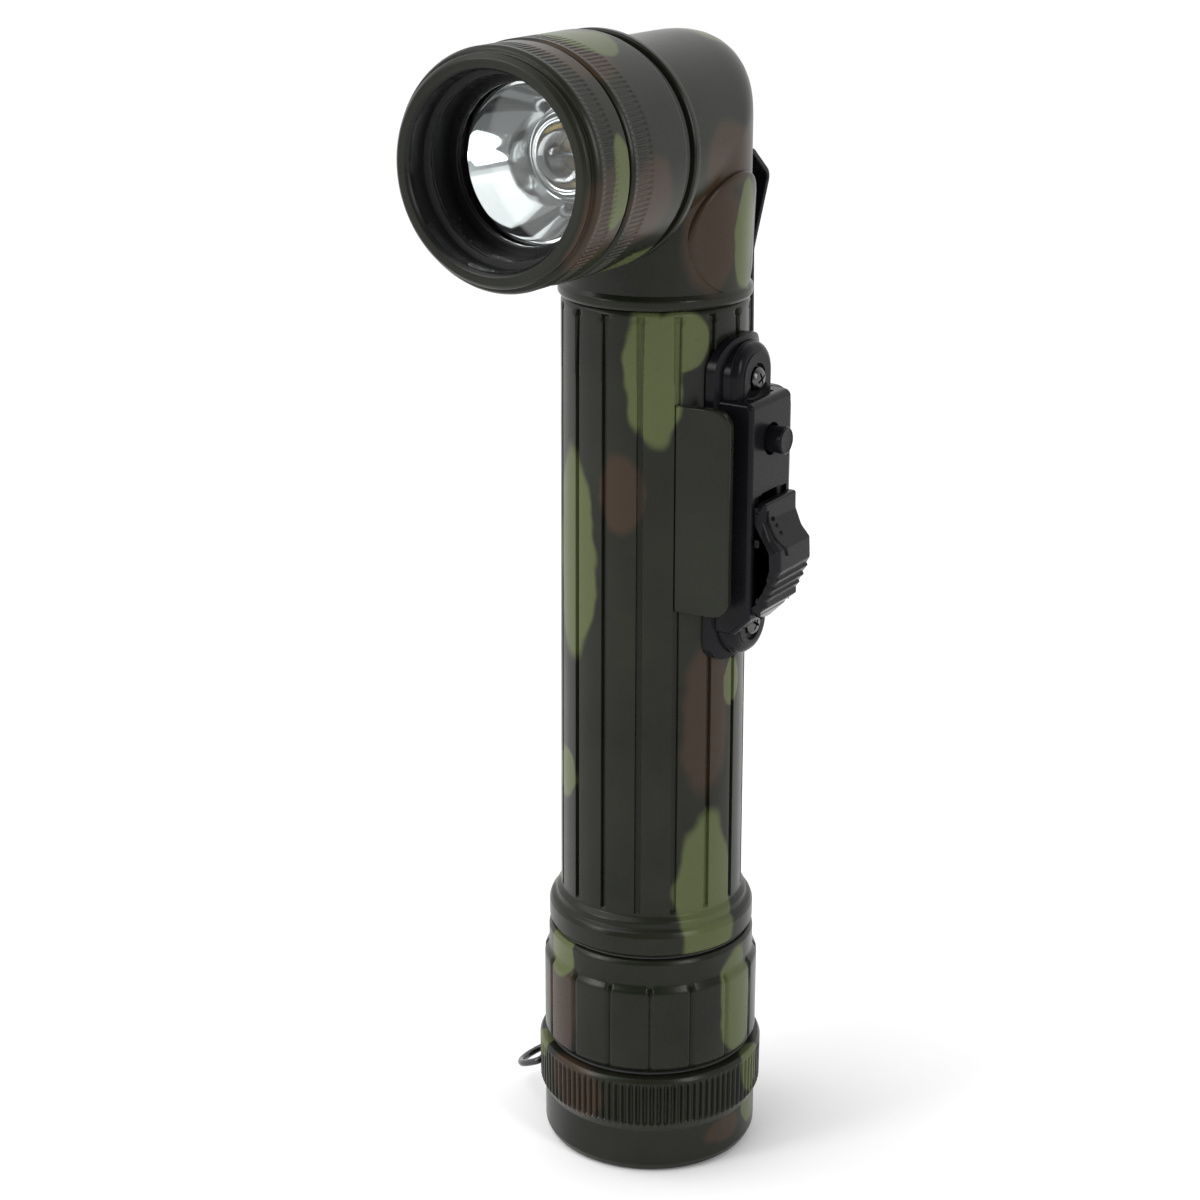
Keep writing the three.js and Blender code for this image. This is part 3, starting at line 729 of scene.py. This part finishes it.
def bent_solid(name, radius, bottom, front, power, crown=1.0):
    """A closed bent tube, filled at both ends; crown makes its top a little higher."""
    rows = elbow_tube(radius, bottom, front, power, crown)
    count = len(rows[0])
    numbers = [list(range(i * count, (i + 1) * count)) for i in range(len(rows))]
    faces = grid_faces(numbers, False)
    faces.append(numbers[0])
    faces.append(numbers[-1][::-1])
    return new_object(name, np.concatenate(rows), faces)


PAD_Z = 139.3
PAD_RADIUS = 8.4


def side_pad(side):
    """The low round pad on the neck, its face following the neck and its rim rounded."""
    rings = [(0.0, 0.0)] + [(r, 0.0) for r in (2, 4, 6, 7.2, 7.9)]
    rings += [(8.1, 0.03), (8.25, 0.1), (8.36, 0.22), (PAD_RADIUS, 0.4), (PAD_RADIUS, 3.0)]
    rings += [(6, 3.0), (0.0, 3.0)]
    psi = np.linspace(0, 2 * math.pi, 96, endpoint=False)
    co, rows = [], []
    for ring, drop in rings:
        y = ring * np.cos(psi)
        z = PAD_Z + ring * np.sin(psi)
        face = 13.2 + 0.55 * (z - 130.9) / 16.8
        x = side * (np.sqrt(face ** 2 - y ** 2) - drop)
        if ring == 0:
            rows.append([len(co)] * len(psi))
            co.append((x[0], y[0], z[0]))
        else:
            rows.append(list(range(len(co), len(co) + len(psi))))
            co.extend(zip(x, y, z))
    return new_object("tool", np.array(co), grid_faces(rows, False))


def guard(side):
    """A finger guard plate standing beside the switch, with two rounded outer corners."""
    outline = rounded([(87.5, 9, 0), (117, 9, 0), (117, 17.2, 2.6), (87.5, 17.2, 2.6)], steps=8)
    plate = slab("tool", outline, -0.75, 0.75, "back", (0.3, 0.3))
    lean = Matrix.Rotation(math.radians(-5.5 * side), 4, "Z")
    move = Matrix.Translation((-0.072 * MM, side * 9.63 * MM, 0))
    plate.data.transform(move @ lean)
    return plate


def barrel():
    grooves = [-9, -6, -4, -2.6, -1.95, -1.45, -0.7, 0.7, 1.45, 1.95, 2.6, 4, 6, 9, 11.25]
    outer = rounded(
        [
            (11.2, 27, 0), (13.0, 27, 0.1), (13.3, 27.4, 0.1), (13.3, 35.3, 0), (14.9, 35.3, 0.2),
            (15.2, 35.7, 0.3), (15.2, 38.2, 0.6), (14.9, 39.0, 0.6), (14.25, 39.3, 0.2),
            (14.15, 40.2, 0.5), (13.75, 40.6, 0.2), (13.45, 40.9, 0.3), (13.12, 128.9, 0),
            (13.1, 129.3, 0.3), (12.8, 129.8, 0.2), (11.2, 129.8, 0),
        ],
    )
    outer = refined(outer, 0.2, 27.4, 35.4)
    ends = []
    for point in outer:
        ends.append(point)
        if abs(point[1] - 40.9) < 0.5 and abs(point[0] - 13.45) < 0.02:
            last = len(ends)
    levels = [41.2, 41.4, 41.55, 41.7, 60, 80, 100, 120, 127.9, 128.2, 128.5, 128.8]
    middle = [(13.45 - (z - 40.9) * 0.33 / 88, z) for z in levels]
    body = turned(
        "barrel_shell", ends[:last] + middle + ends[last:], relief=barrel_relief,
        angles=sector_angles(grooves),
    )
    pad = slab(
        "tool", rounded([(92, -6.4), (125, -6.4), (125, 6.4), (92, 6.4)], 1.2), 11.4, 13.7,
        "back", (0, 0.4),
    )
    combine(body, "UNION", guard(1), guard(-1), pad)
    return combine(
        body, "DIFFERENCE", block((9, 14.5), (-2.2, 2.2), (92.5, 103.5)),
        rod("side", 1.15, 11.9, 14.5, 119.8), rod("side", 1.15, 11.9, 14.5, 84.5),
    )


def elbow():
    body = bent_solid("elbow_shell", 13.05, 130.6, 15.1, 4.6, 1.045)
    foot = turned("tool", rounded(
        [
            (9.6, 122, 0), (10.9, 122, 0.2), (10.9, 129.95, 0), (13.25, 129.95, 0.2),
            (13.55, 130.4, 0.4), (13.55, 131.3, 0.4), (13.0, 132.0, 0.1), (11.5, 132.4, 0),
            (9.6, 131.5, 0),
        ],
    ))
    nose_line = rounded(
        [
            (9.4, 11.5, 0.2), (12.2, 11.8, 0), (13.1, 12.4, 0.6), (13.7, 13.7, 0.8),
            (14.9, 14.15, 0.3), (15.4, 14.5, 0.25), (15.4, 15.45, 0.2), (15.2, 15.7, 0.1),
            (13.6, 15.7, 0), (13.6, 23.6, 0.2), (13.2, 24, 0.2), (10.6, 24, 0.2),
            (10.6, 13.8, 0), (9.4, 13.8, 0.1),
        ],
    )
    nose = turned(
        "tool", refined(nose_line, 0.2, 15.7, 24), "ahead",
        relief=thread(1.5, 16.2, 23.8, 0.34, 13.5),
    )
    inner = bent_solid("tool", 10.6, 131.0, 24.5, 3.2)
    combine(body, "DIFFERENCE", inner, rod("up", 9.7, 129, 133, count=96))
    return combine(body, "UNION", foot, nose, side_pad(1), side_pad(-1))


def belt_clip():
    line = rounded(
        [
            (14.3, 94), (14.3, 147.7), (15.5, 148.0), (20.3, 144.15), (16.0, 134.0),
            (16.6, 112, 30), (16.2, 84, 6), (18.8, 77.5),
        ],
        1.3, False, 6,
    )
    strip = slab("belt_clip_strip", ribbon(line, 0.8), -6.5, 6.5, "side", (0.2, 0.2))
    outline = rounded(
        [
            (76, -4.8, 2.2), (76, 4.8, 2.2), (96, 6.5, 6), (151, 6.6, 1), (151, -6.6, 1),
            (96, -6.5, 6),
        ],
        steps=6,
    )
    combine(strip, "INTERSECT", slab("tool", outline, 12, 22, "back", (0, 0), steps=1))
    rib = rounded([(91, -1.3, 1.2), (91, 1.3, 1.2), (129, 1.3, 1.2), (129, -1.3, 1.2)], steps=5)
    combine(strip, "UNION", slab("tool", rib, 16.3, 17.4, "back", (0, 0.4)))
    return combine(
        strip, "DIFFERENCE",
        *[turned("tool", [(0, 13), (1, 13), (1, 15), (0, 15)], "back", z, 32) for z in (101, 117)],
    )


def rivet(name, z):
    return turned(name, rounded(
        [(0, 12.4), (0.8, 12.4), (0.8, 14.78), (1.9, 14.78), (1.9, 15.0), (1.2, 15.35), (0, 15.42)],
        0.15, False,
    ), "back", z, 48)


# ---------- switch ----------

SCREW_HIGH = 119.8
SCREW_LOW = 84.5
BUTTON_Z = 111.7


def switch_base():
    outline = rounded(
        [(-6.3, 79.8, 2.5), (6.3, 79.8, 2.5), (6.3, 125.7, 4.8), (-6.3, 125.7, 4.8)], steps=10,
    )
    plate = slab("switch_base_plate", outline, 9, 16, "side", (0, 0))
    shell = turned("tool", rounded([(13.42, 70, 0), (14.6, 70, 0), (14.6, 130, 0), (13.42, 130, 0)]))
    combine(plate, "INTERSECT", shell)
    combine(
        plate, "DIFFERENCE", block((8, 16), (-2.6, 2.6), (91, 104.5)),
        rod("side", 2.0, 8, 16, BUTTON_Z), rod("side", 1.15, 8, 16, SCREW_HIGH),
        rod("side", 1.15, 8, 16, SCREW_LOW),
    )
    return plate


def switch_frame():
    """The black cover: two domed screw tabs, and the raised box between them."""
    ends = rounded([(-5, 80, 4.9), (5, 80, 4.9), (5, 124.8, 4.9), (-5, 124.8, 4.9)], steps=14)
    cover = slab("switch_frame_cover", ends, 10, 16.3, "side", (0, 1.5), steps=7)
    lip = rounded([(-5.1, 79.9, 5), (5.1, 79.9, 5), (5.1, 124.9, 5), (-5.1, 124.9, 5)], steps=14)
    foot = slab("tool", lip, 10, 14.98, "side", (0, 0.12))
    inner = rounded([(-3.7, 81.5, 3.6), (3.7, 81.5, 3.6), (3.7, 123.5, 3.6), (-3.7, 123.5, 3.6)],
                    steps=12)
    rise = slab("tool", inner, 15, 16.42, "side", (0, 0.12))
    side = rounded(
        [
            (84.2, 13, 0), (117.6, 13, 0), (117.6, 18.8, 1.0), (86.7, 18.8, 0.8),
            (84.2, 16.3, 0.3),
        ],
        steps=5,
    )
    box = slab("tool", side, -5.6, 5.6, "back", (0.6, 0.6), steps=6)
    combine(cover, "UNION", foot, rise, box)
    hollow = turned("tool", rounded(
        [(0, 15.7), (0.6, 15.8, 0.2), (1.0, 16.6, 0.2), (1.0, 17.3), (0, 17.3)], 0.1, False,
    ), "side", 0, 64)
    hollow.data.transform(
        Matrix.Translation((0, 0, 117.9 * MM)) @ Matrix.Diagonal((1, 3.3, 1.5, 1))
    )
    wells = [turned("tool", rounded(
        [(0, 15.85), (1.85, 15.85, 0.3), (2.15, 16.4, 0.2), (2.3, 17.2), (0, 17.2)], 0.1, False,
    ), "side", z, 96) for z in (SCREW_HIGH, SCREW_LOW - 0.3)]
    return combine(
        cover, "DIFFERENCE", rod("up", 14.7, 70, 130, count=192), hollow, *wells,
        block((18.3, 19.5), (-4.5, 4.5), (102.6, 104.3)),
        block((8, 20), (-2.6, 2.6), (91, 104.5)),
        rod("side", 2.3, 8, 20, BUTTON_Z, 96), rod("side", 3.5, 8, 16.9, BUTTON_Z, 96),
        rod("side", 1.15, 8, 20, SCREW_HIGH), rod("side", 1.15, 8, 20, SCREW_LOW),
    )


def screw(name, z):
    """A pan-head screw with a cross recess."""
    body = turned(name, rounded(
        [
            (0, 12.3), (0.8, 12.3), (0.92, 12.6), (0.92, 16.05, 0), (1.62, 16.05), (1.62, 16.5, 0.25),
            (1.2, 16.95, 0.4), (0, 17.12),
        ],
        0.12, False,
    ), "side", z, 64)
    turn = 25 if z > 100 else 60
    cuts = []
    for angle in (turn, turn + 90):
        bar = slab("tool", [(-0.95, -0.17), (0.95, -0.17), (0.95, 0.17), (-0.95, 0.17)], 16.35, 18,
                   "side", (0, 0), steps=1)
        bar.data.transform(
            Matrix.Translation((0, 0, z * MM)) @ Matrix.Rotation(math.radians(angle), 4, "X")
        )
        cuts.append(bar)
    return combine(body, "DIFFERENCE", *cuts)


def slider():
    """The thumb slider: ledge, hollowed thumb rest with a raised rim, hump, and ribbed back slope."""
    side = rounded(
        [
            (87.0, 19.0, 0.1), (103.5, 19.0, 0.1), (103.5, 20.3, 0.35), (101.0, 20.35, 0.8),
            (98.7, 21.3, 1.5), (97.2, 22.65, 0.5), (94.2, 22.8, 0.6), (93.3, 22.3, 0.12),
            (92.9, 22.5, 0.12), (91.9, 21.75, 0.12), (91.5, 21.95, 0.12), (90.6, 21.15, 0.12),
            (90.2, 21.3, 0.12), (89.5, 20.75, 0.12), (88.6, 20.8, 0.3),
        ],
        steps=4,
    )
    body = slab("slider_knob", side, -4.9, 4.9, "back", (1.3, 0.5), steps=6)
    neck = block((13.6, 19.4), (-2.2, 2.2), (92, 99.8))
    stem = block((10.25, 13.9), (-1.6, 1.6), (93.2, 98.6))
    rim = wire("tool", smooth_line([
        (20.3, -3.5, 102.4), (20.45, -3.5, 101.0), (21.0, -3.25, 99.4), (21.8, -2.9, 98.1),
        (22.6, -2.4, 97.2), (22.75, -2.0, 96.2),
    ], 30), 0.26, 12)
    nub = slab("tool", rounded([(97.4, 19.1), (98.6, 19.1), (98.6, 19.9), (97.4, 19.9)], 0.25),
               -5.25, -4.2, "back", (0.25, 0.1))
    slot = block((19.3, 20.1), (-5.2, -4.4), (93.2, 94.8))
    dots = []
    for x, y, z in ((20.45, -1.9, 101.0), (20.75, -1.5, 100.0), (21.2, -1.05, 98.9)):
        dots.append(turned("tool", [(0, -0.5), (0.28, -0.5), (0.28, 0.1), (0.16, 0.24), (0, 0.28)],
                           "side", 0, 24))
        dots[-1].data.transform(Matrix.Translation((x * MM, y * MM, z * MM)))
    combine(body, "UNION", neck, stem, rim, nub, *dots)
    return combine(body, "DIFFERENCE", slot)


def signal_button():
    return turned("signal_button_cap", rounded(
        [
            (0, 17.1), (1.66, 17.1), (1.66, 16), (3.2, 16), (3.2, 16.7), (1.88, 16.7),
            (1.88, 21.05, 0.2), (1.6, 21.2, 0.1), (1.5, 21.1, 0.1), (0, 21.15),
        ],
        0.12, False,
    ), "side", BUTTON_Z, 96)


# ---------- head ----------


def ring_profile(points, low, high):
    return refined(rounded(points), 0.3, low, high)


def lens_ring():
    line = ring_profile(
        [
            (13.9, 17.5, 0.2), (15.0, 17.5, 0.3), (15.5, 18.1, 0.4), (15.5, 30.6, 0.25),
            (15.2, 31.0, 0.2), (12.9, 31.0, 0), (12.9, 35.6, 0.2), (11.5, 35.6, 0.2),
            (11.5, 31.9, 0), (10.3, 31.9, 0.15), (10.3, 31.3, 0.1), (11.6, 31.3, 0),
            (11.6, 25.0, 0), (13.9, 25.0, 0),
        ],
        18, 36,
    )
    outer = fine_ribs(136, 26.4, 30.2, 0.13, 15.3)
    nose = thread(1.5, 31.2, 35.4, 0.3, 12.8)

    def relief(theta, radius, height):
        return outer(theta, radius, height) if radius > 14 else nose(theta, radius, height)
    return turned("lens_ring_bezel", line, "ahead", count=816, relief=relief)


def filter_ring():
    line = ring_profile(
        [
            (13.2, 31.3, 0.1), (15.0, 31.3, 0.15), (15.3, 31.6, 0.2), (15.3, 37.9, 0.5),
            (14.95, 38.4, 0.2), (14.35, 38.45, 0.1), (14.4, 38.75, 0.1), (14.45, 39.3, 0.4),
            (13.9, 39.8, 0.4), (12.8, 39.8, 0.35), (12.4, 39.3, 0.3), (12.4, 36.3, 0.1),
            (13.2, 36.3, 0),
        ],
        31.5, 39,
    )
    relief = fine_ribs(136, 34.2, 37.4, 0.13, 15.1)
    return turned("filter_ring_bezel", line, "ahead", count=816, relief=relief)


def reflector():
    """The dished mirror with a collar round its bulb hole."""
    dish = []
    for d in np.linspace(21.9, 29.5, 16):
        dish.append((math.sqrt(9.12 * (d - 18.97)), float(d)))
    back = []
    for d in np.linspace(29.2, 21.6, 10):
        back.append((math.sqrt(9.12 * (d - 18.97)) + 0.8, float(d)))
    collar = rounded(
        [(4.2, 18.2, 0), (4.2, 22.6, 0.3), (5.0, 22.6, 0.3), (5.0, 21.76, 0)], closed=False,
    )
    line = collar + dish + [(9.9, 29.8), (11.4, 29.8), (11.4, 29.2)] + back
    return turned("reflector_dish", line + [(5.0, 20.6), (5.0, 18.2)], "ahead")


def lens_window():
    return turned("lens_window_disc", rounded(
        [(0, 29.95), (11.4, 29.95), (11.4, 30.8), (0, 30.8)], 0.15, False,
    ), "ahead")


def o_ring(name, radius, height, thick, way):
    """A sealing ring of round section, a little flattened."""
    section = []
    for k in range(16):
        t = 2 * math.pi * k / 16
        section.append((radius + thick[0] * math.cos(t), height + thick[1] * math.sin(t)))
    return turned(name, section, way)


def bulb_glass():
    return turned("bulb_envelope", [
        (0, 25.42), (0.7, 25.36), (1.4, 25.12), (2.1, 24.6), (2.7, 23.8), (3.05, 22.9),
        (3.05, 22.1), (2.75, 21.2), (2.25, 20.4), (2.2, 20.05), (2.6, 20.05), (2.7, 20.35),
        (3.2, 21.2), (3.48, 22.1), (3.48, 22.95), (3.15, 23.95), (2.5, 24.95), (1.6, 25.6),
        (0.8, 25.86), (0, 25.92),
    ], "ahead", count=96)


def bulb_filament():
    """Two supports with a fine coil between them."""
    coil = []
    for k in range(240):
        t = k / 239
        angle = t * 2 * math.pi * 12
        coil.append((
            -0.85 + 1.7 * t, -23.4 - 0.17 * math.cos(angle), HEAD_Z + 0.17 * math.sin(angle),
        ))
    body = wire("bulb_coil", coil, 0.045, 8)
    for x in (-0.9, 0.9):
        post = wire("tool", [(x, -20.05, HEAD_Z), (x, -22, HEAD_Z), (x, -23.5, HEAD_Z)], 0.11, 12)
        combine(body, "UNION", post)
    bead = wire("tool", [(-1.15, -21, HEAD_Z), (0, -21, HEAD_Z), (1.15, -21, HEAD_Z)], 0.38, 24)
    return combine(body, "UNION", bead)


# ---------- tail ----------


def tail_cap():
    upper = rounded(
        [
            (0, 15.6, 0), (5.2, 15.6, 0), (5.2, 9, 0.1), (6.6, 9, 0.1), (6.6, 16.4, 0),
            (12.2, 16.4, 0), (12.2, 9, 0.2), (13.9, 9, 0.2), (13.9, 16.6, 0), (15.1, 16.6, 0.1),
            (15.3, 16.8, 0.1), (15.3, 34.0, 0.4), (14.95, 34.6, 0.3), (13.6, 34.6, 0.1),
            (13.6, 20, 0), (0, 20, 0),
        ],
        closed=False,
    )
    line = refined(upper, 0.35, 16.8, 34.0)
    line = refined(line, 0.2, 9.1, 16.6)
    screw_thread = thread(1.5, 9.4, 16.4, 0.34, 13.8)

    def relief(theta, radius, height):
        if height < 16.6:
            return screw_thread(theta, radius, height)
        return tail_relief(theta, radius, height)
    return turned("tail_cap_shell", line, relief=relief, count=512)


def storage_cap():
    line = rounded(
        [
            (0, 0, 0), (14.6, 0, 0.3), (15.5, 0.35, 0.5), (16.0, 1.4, 0.8), (16.0, 7.1, 0.2),
            (16.75, 8.7, 0.25), (16.8, 15.4, 0.3), (16.45, 16.0, 0.25), (14.2, 16.0, 0.15),
            (14.2, 7.6, 0), (13.0, 7.6, 0), (13.0, 2, 0.3), (0, 2, 0),
        ],
        closed=False,
    )
    line = refined(line, 0.4, 7.1, 15.6)
    relief = fine_ribs(100, 8.3, 15.2, 0.42, 16.3)
    body = turned("storage_cap_shell", line, count=800, relief=relief)
    lug = slab("tool", rounded(
        [(-2.2, 5.2, 1.2), (2.2, 5.2, 1.2), (2.2, 8.7, 1.2), (-2.2, 8.7, 1.2)], steps=5,
    ), -18.8, -15.0, "side", (0.5, 0))
    combine(body, "UNION", lug)
    hole = turned("tool", [(0, -4), (0.85, -4), (0.85, 4), (0, 4)], "back", 7.0, 32)
    hole.data.transform(Matrix.Translation((-17.4 * MM, 0, 0)))
    return combine(body, "DIFFERENCE", hole)


def lanyard_ring():
    """The bent wire ring, hanging a little below level."""
    droop = math.radians(30)
    half = 4.6
    flat = [
        (0, -half), (1.6, -half - 0.05), (4.2, -half + 0.9), (6.0, -half + 2.6), (6.6, 0),
        (6.0, half - 2.6), (4.2, half - 0.9), (1.6, half + 0.05), (0, half), (0, half / 2),
        (0, 0), (0, -half / 2),
    ]
    points = [(-17.4 - u * math.cos(droop), y, 7.0 - u * math.sin(droop)) for u, y in flat]
    return wire("lanyard_ring_wire", smooth_line(points, 144, True), 0.55, 20, True)


PIECES = [
    (barrel, "barrel", ()), (elbow, "elbow_housing", ()), (belt_clip, "belt_clip", ()),
    (rivet, "clip_rivet_lower", ("rivet_head_lower", 101)),
    (rivet, "clip_rivet_upper", ("rivet_head_upper", 117)),
    (switch_base, "switch_base", ()), (switch_frame, "switch_frame", ()),
    (screw, "screw_upper", ("cover_screw_upper", SCREW_HIGH)),
    (screw, "screw_lower", ("cover_screw_lower", SCREW_LOW)),
    (slider, "slider", ()), (signal_button, "signal_button", ()),
    (lens_ring, "lens_ring", ()), (filter_ring, "filter_ring", ()),
    (reflector, "reflector", ()), (lens_window, "lens_window", ()),
    (o_ring, "head_gasket", ("head_seal_ring", 14.32, 16.6, (0.55, 0.78), "ahead")),
    (o_ring, "tail_gasket", ("tail_seal_ring", 14.2, 34.95, (0.55, 0.26), "up")),
    (o_ring, "storage_gasket", ("storage_seal_ring", 14.9, 16.3, (0.45, 0.24), "up")),
    (bulb_glass, "bulb_glass", ()), (bulb_filament, "bulb_filament", ()),
    (tail_cap, "tail_cap", ()), (storage_cap, "storage_cap", ()), (lanyard_ring, "d_ring", ()),
]
for build, node_name, arguments in PIECES:
    piece(build(*arguments), node_name)

REPLACED = {node_name for _, node_name, _ in PIECES}
for node_name, obj in frame["nodes"].items():
    if node_name in REPLACED:
        continue
    obj.data.materials.clear()
    obj.data.materials.append(FINISHES[SLOT_OF[node_name]])

# ---------- floor, light and camera ----------

DIM_SIDE = (0.49, -0.82, 0.30)


def floor():
    """A wide pale floor, very slightly uneven in tone."""
    mesh = bpy.data.meshes.new("floor")
    size = 4.0
    mesh.from_pydata(
        [(-size, -size, 0), (size, -size, 0), (size, size, 0), (-size, size, 0)], [],
        [(0, 1, 2, 3)],
    )
    made = bpy.data.objects.new("floor", mesh)
    bpy.context.scene.collection.objects.link(made)
    material, tree, shader, place = new_material("pale_floor")
    tone = noise(tree, place, 3.0, 2.0, 0.5)
    shade_of = mixed(tree, tone.outputs["Fac"], (0.90, 0.90, 0.90), (0.94, 0.94, 0.94))
    tree.links.new(shade_of, shader.inputs["Base Color"])
    shader.inputs["Roughness"].default_value = 0.8
    mesh.materials.append(material)


def soft_light(name, place, aim, size, power):
    data = bpy.data.lights.new(name, "AREA")
    data.shape = "RECTANGLE"
    data.size, data.size_y = size
    data.energy = power
    made = bpy.data.objects.new(name, data)
    bpy.context.scene.collection.objects.link(made)
    made.location = place
    made.rotation_euler = (Vector(aim) - Vector(place)).to_track_quat("-Z", "Y").to_euler()


def lights():
    """A white room that lights the object less from one side, a wide soft sun, and two soft boxes."""
    world = bpy.data.worlds.new("studio")
    bpy.context.scene.world = world
    world.use_nodes = True
    tree = world.node_tree
    back = next(n for n in tree.nodes if n.type == "BACKGROUND")
    back.inputs["Color"].default_value = (1.0, 1.0, 1.0, 1.0)
    direction = tree.nodes.new("ShaderNodeTexCoord").outputs["Generated"]
    toward = tree.nodes.new("ShaderNodeVectorMath")
    toward.operation = "DOT_PRODUCT"
    toward.inputs[1].default_value = DIM_SIDE
    tree.links.new(direction, toward.inputs[0])
    dimmed = spread(tree, toward.outputs["Value"], 1.15, 0.2, 0.0, 0.62, True)
    seen = tree.nodes.new("ShaderNodeLightPath").outputs["Is Camera Ray"]
    strength = tree.nodes.new("ShaderNodeMath")
    strength.operation = "MAXIMUM"
    tree.links.new(dimmed, strength.inputs[0])
    tree.links.new(seen, strength.inputs[1])
    tree.links.new(strength.outputs[0], back.inputs["Strength"])
    data = bpy.data.lights.new("key", "SUN")
    data.energy = 1.5
    data.angle = math.radians(60)
    key = bpy.data.objects.new("key", data)
    bpy.context.scene.collection.objects.link(key)
    key.rotation_euler = Vector((0.55, 0.62, -1.0)).to_track_quat("-Z", "Y").to_euler()
    target = (0, 0, 0.09)
    soft_light("left_box", (-0.45, -0.75, 0.45), target, (0.22, 0.45), 3.0)
    soft_light("right_box", (0.8, -0.25, 0.45), target, (0.2, 0.5), 3.0)


def camera():
    """The main view: from the right front, looking down at 19 degrees."""
    data = bpy.data.cameras.new("camera")
    data.sensor_width = 36.0
    data.lens = 73.7
    data.clip_start = 0.02
    made = bpy.data.objects.new("camera", data)
    bpy.context.scene.collection.objects.link(made)
    forward = Vector((-0.5076, 0.7986, -0.3231)).normalized()
    right = Vector((0.8439, 0.5364, 0.0)).normalized()
    up = right.cross(forward)
    turn = Matrix((right, up, -forward)).transposed().to_4x4()
    made.matrix_world = Matrix.Translation((0.1734, -0.2871, 0.1994)) @ turn
    bpy.context.scene.camera = made


floor()
lights()
camera()
bpy.context.scene.view_settings.view_transform = "Standard"
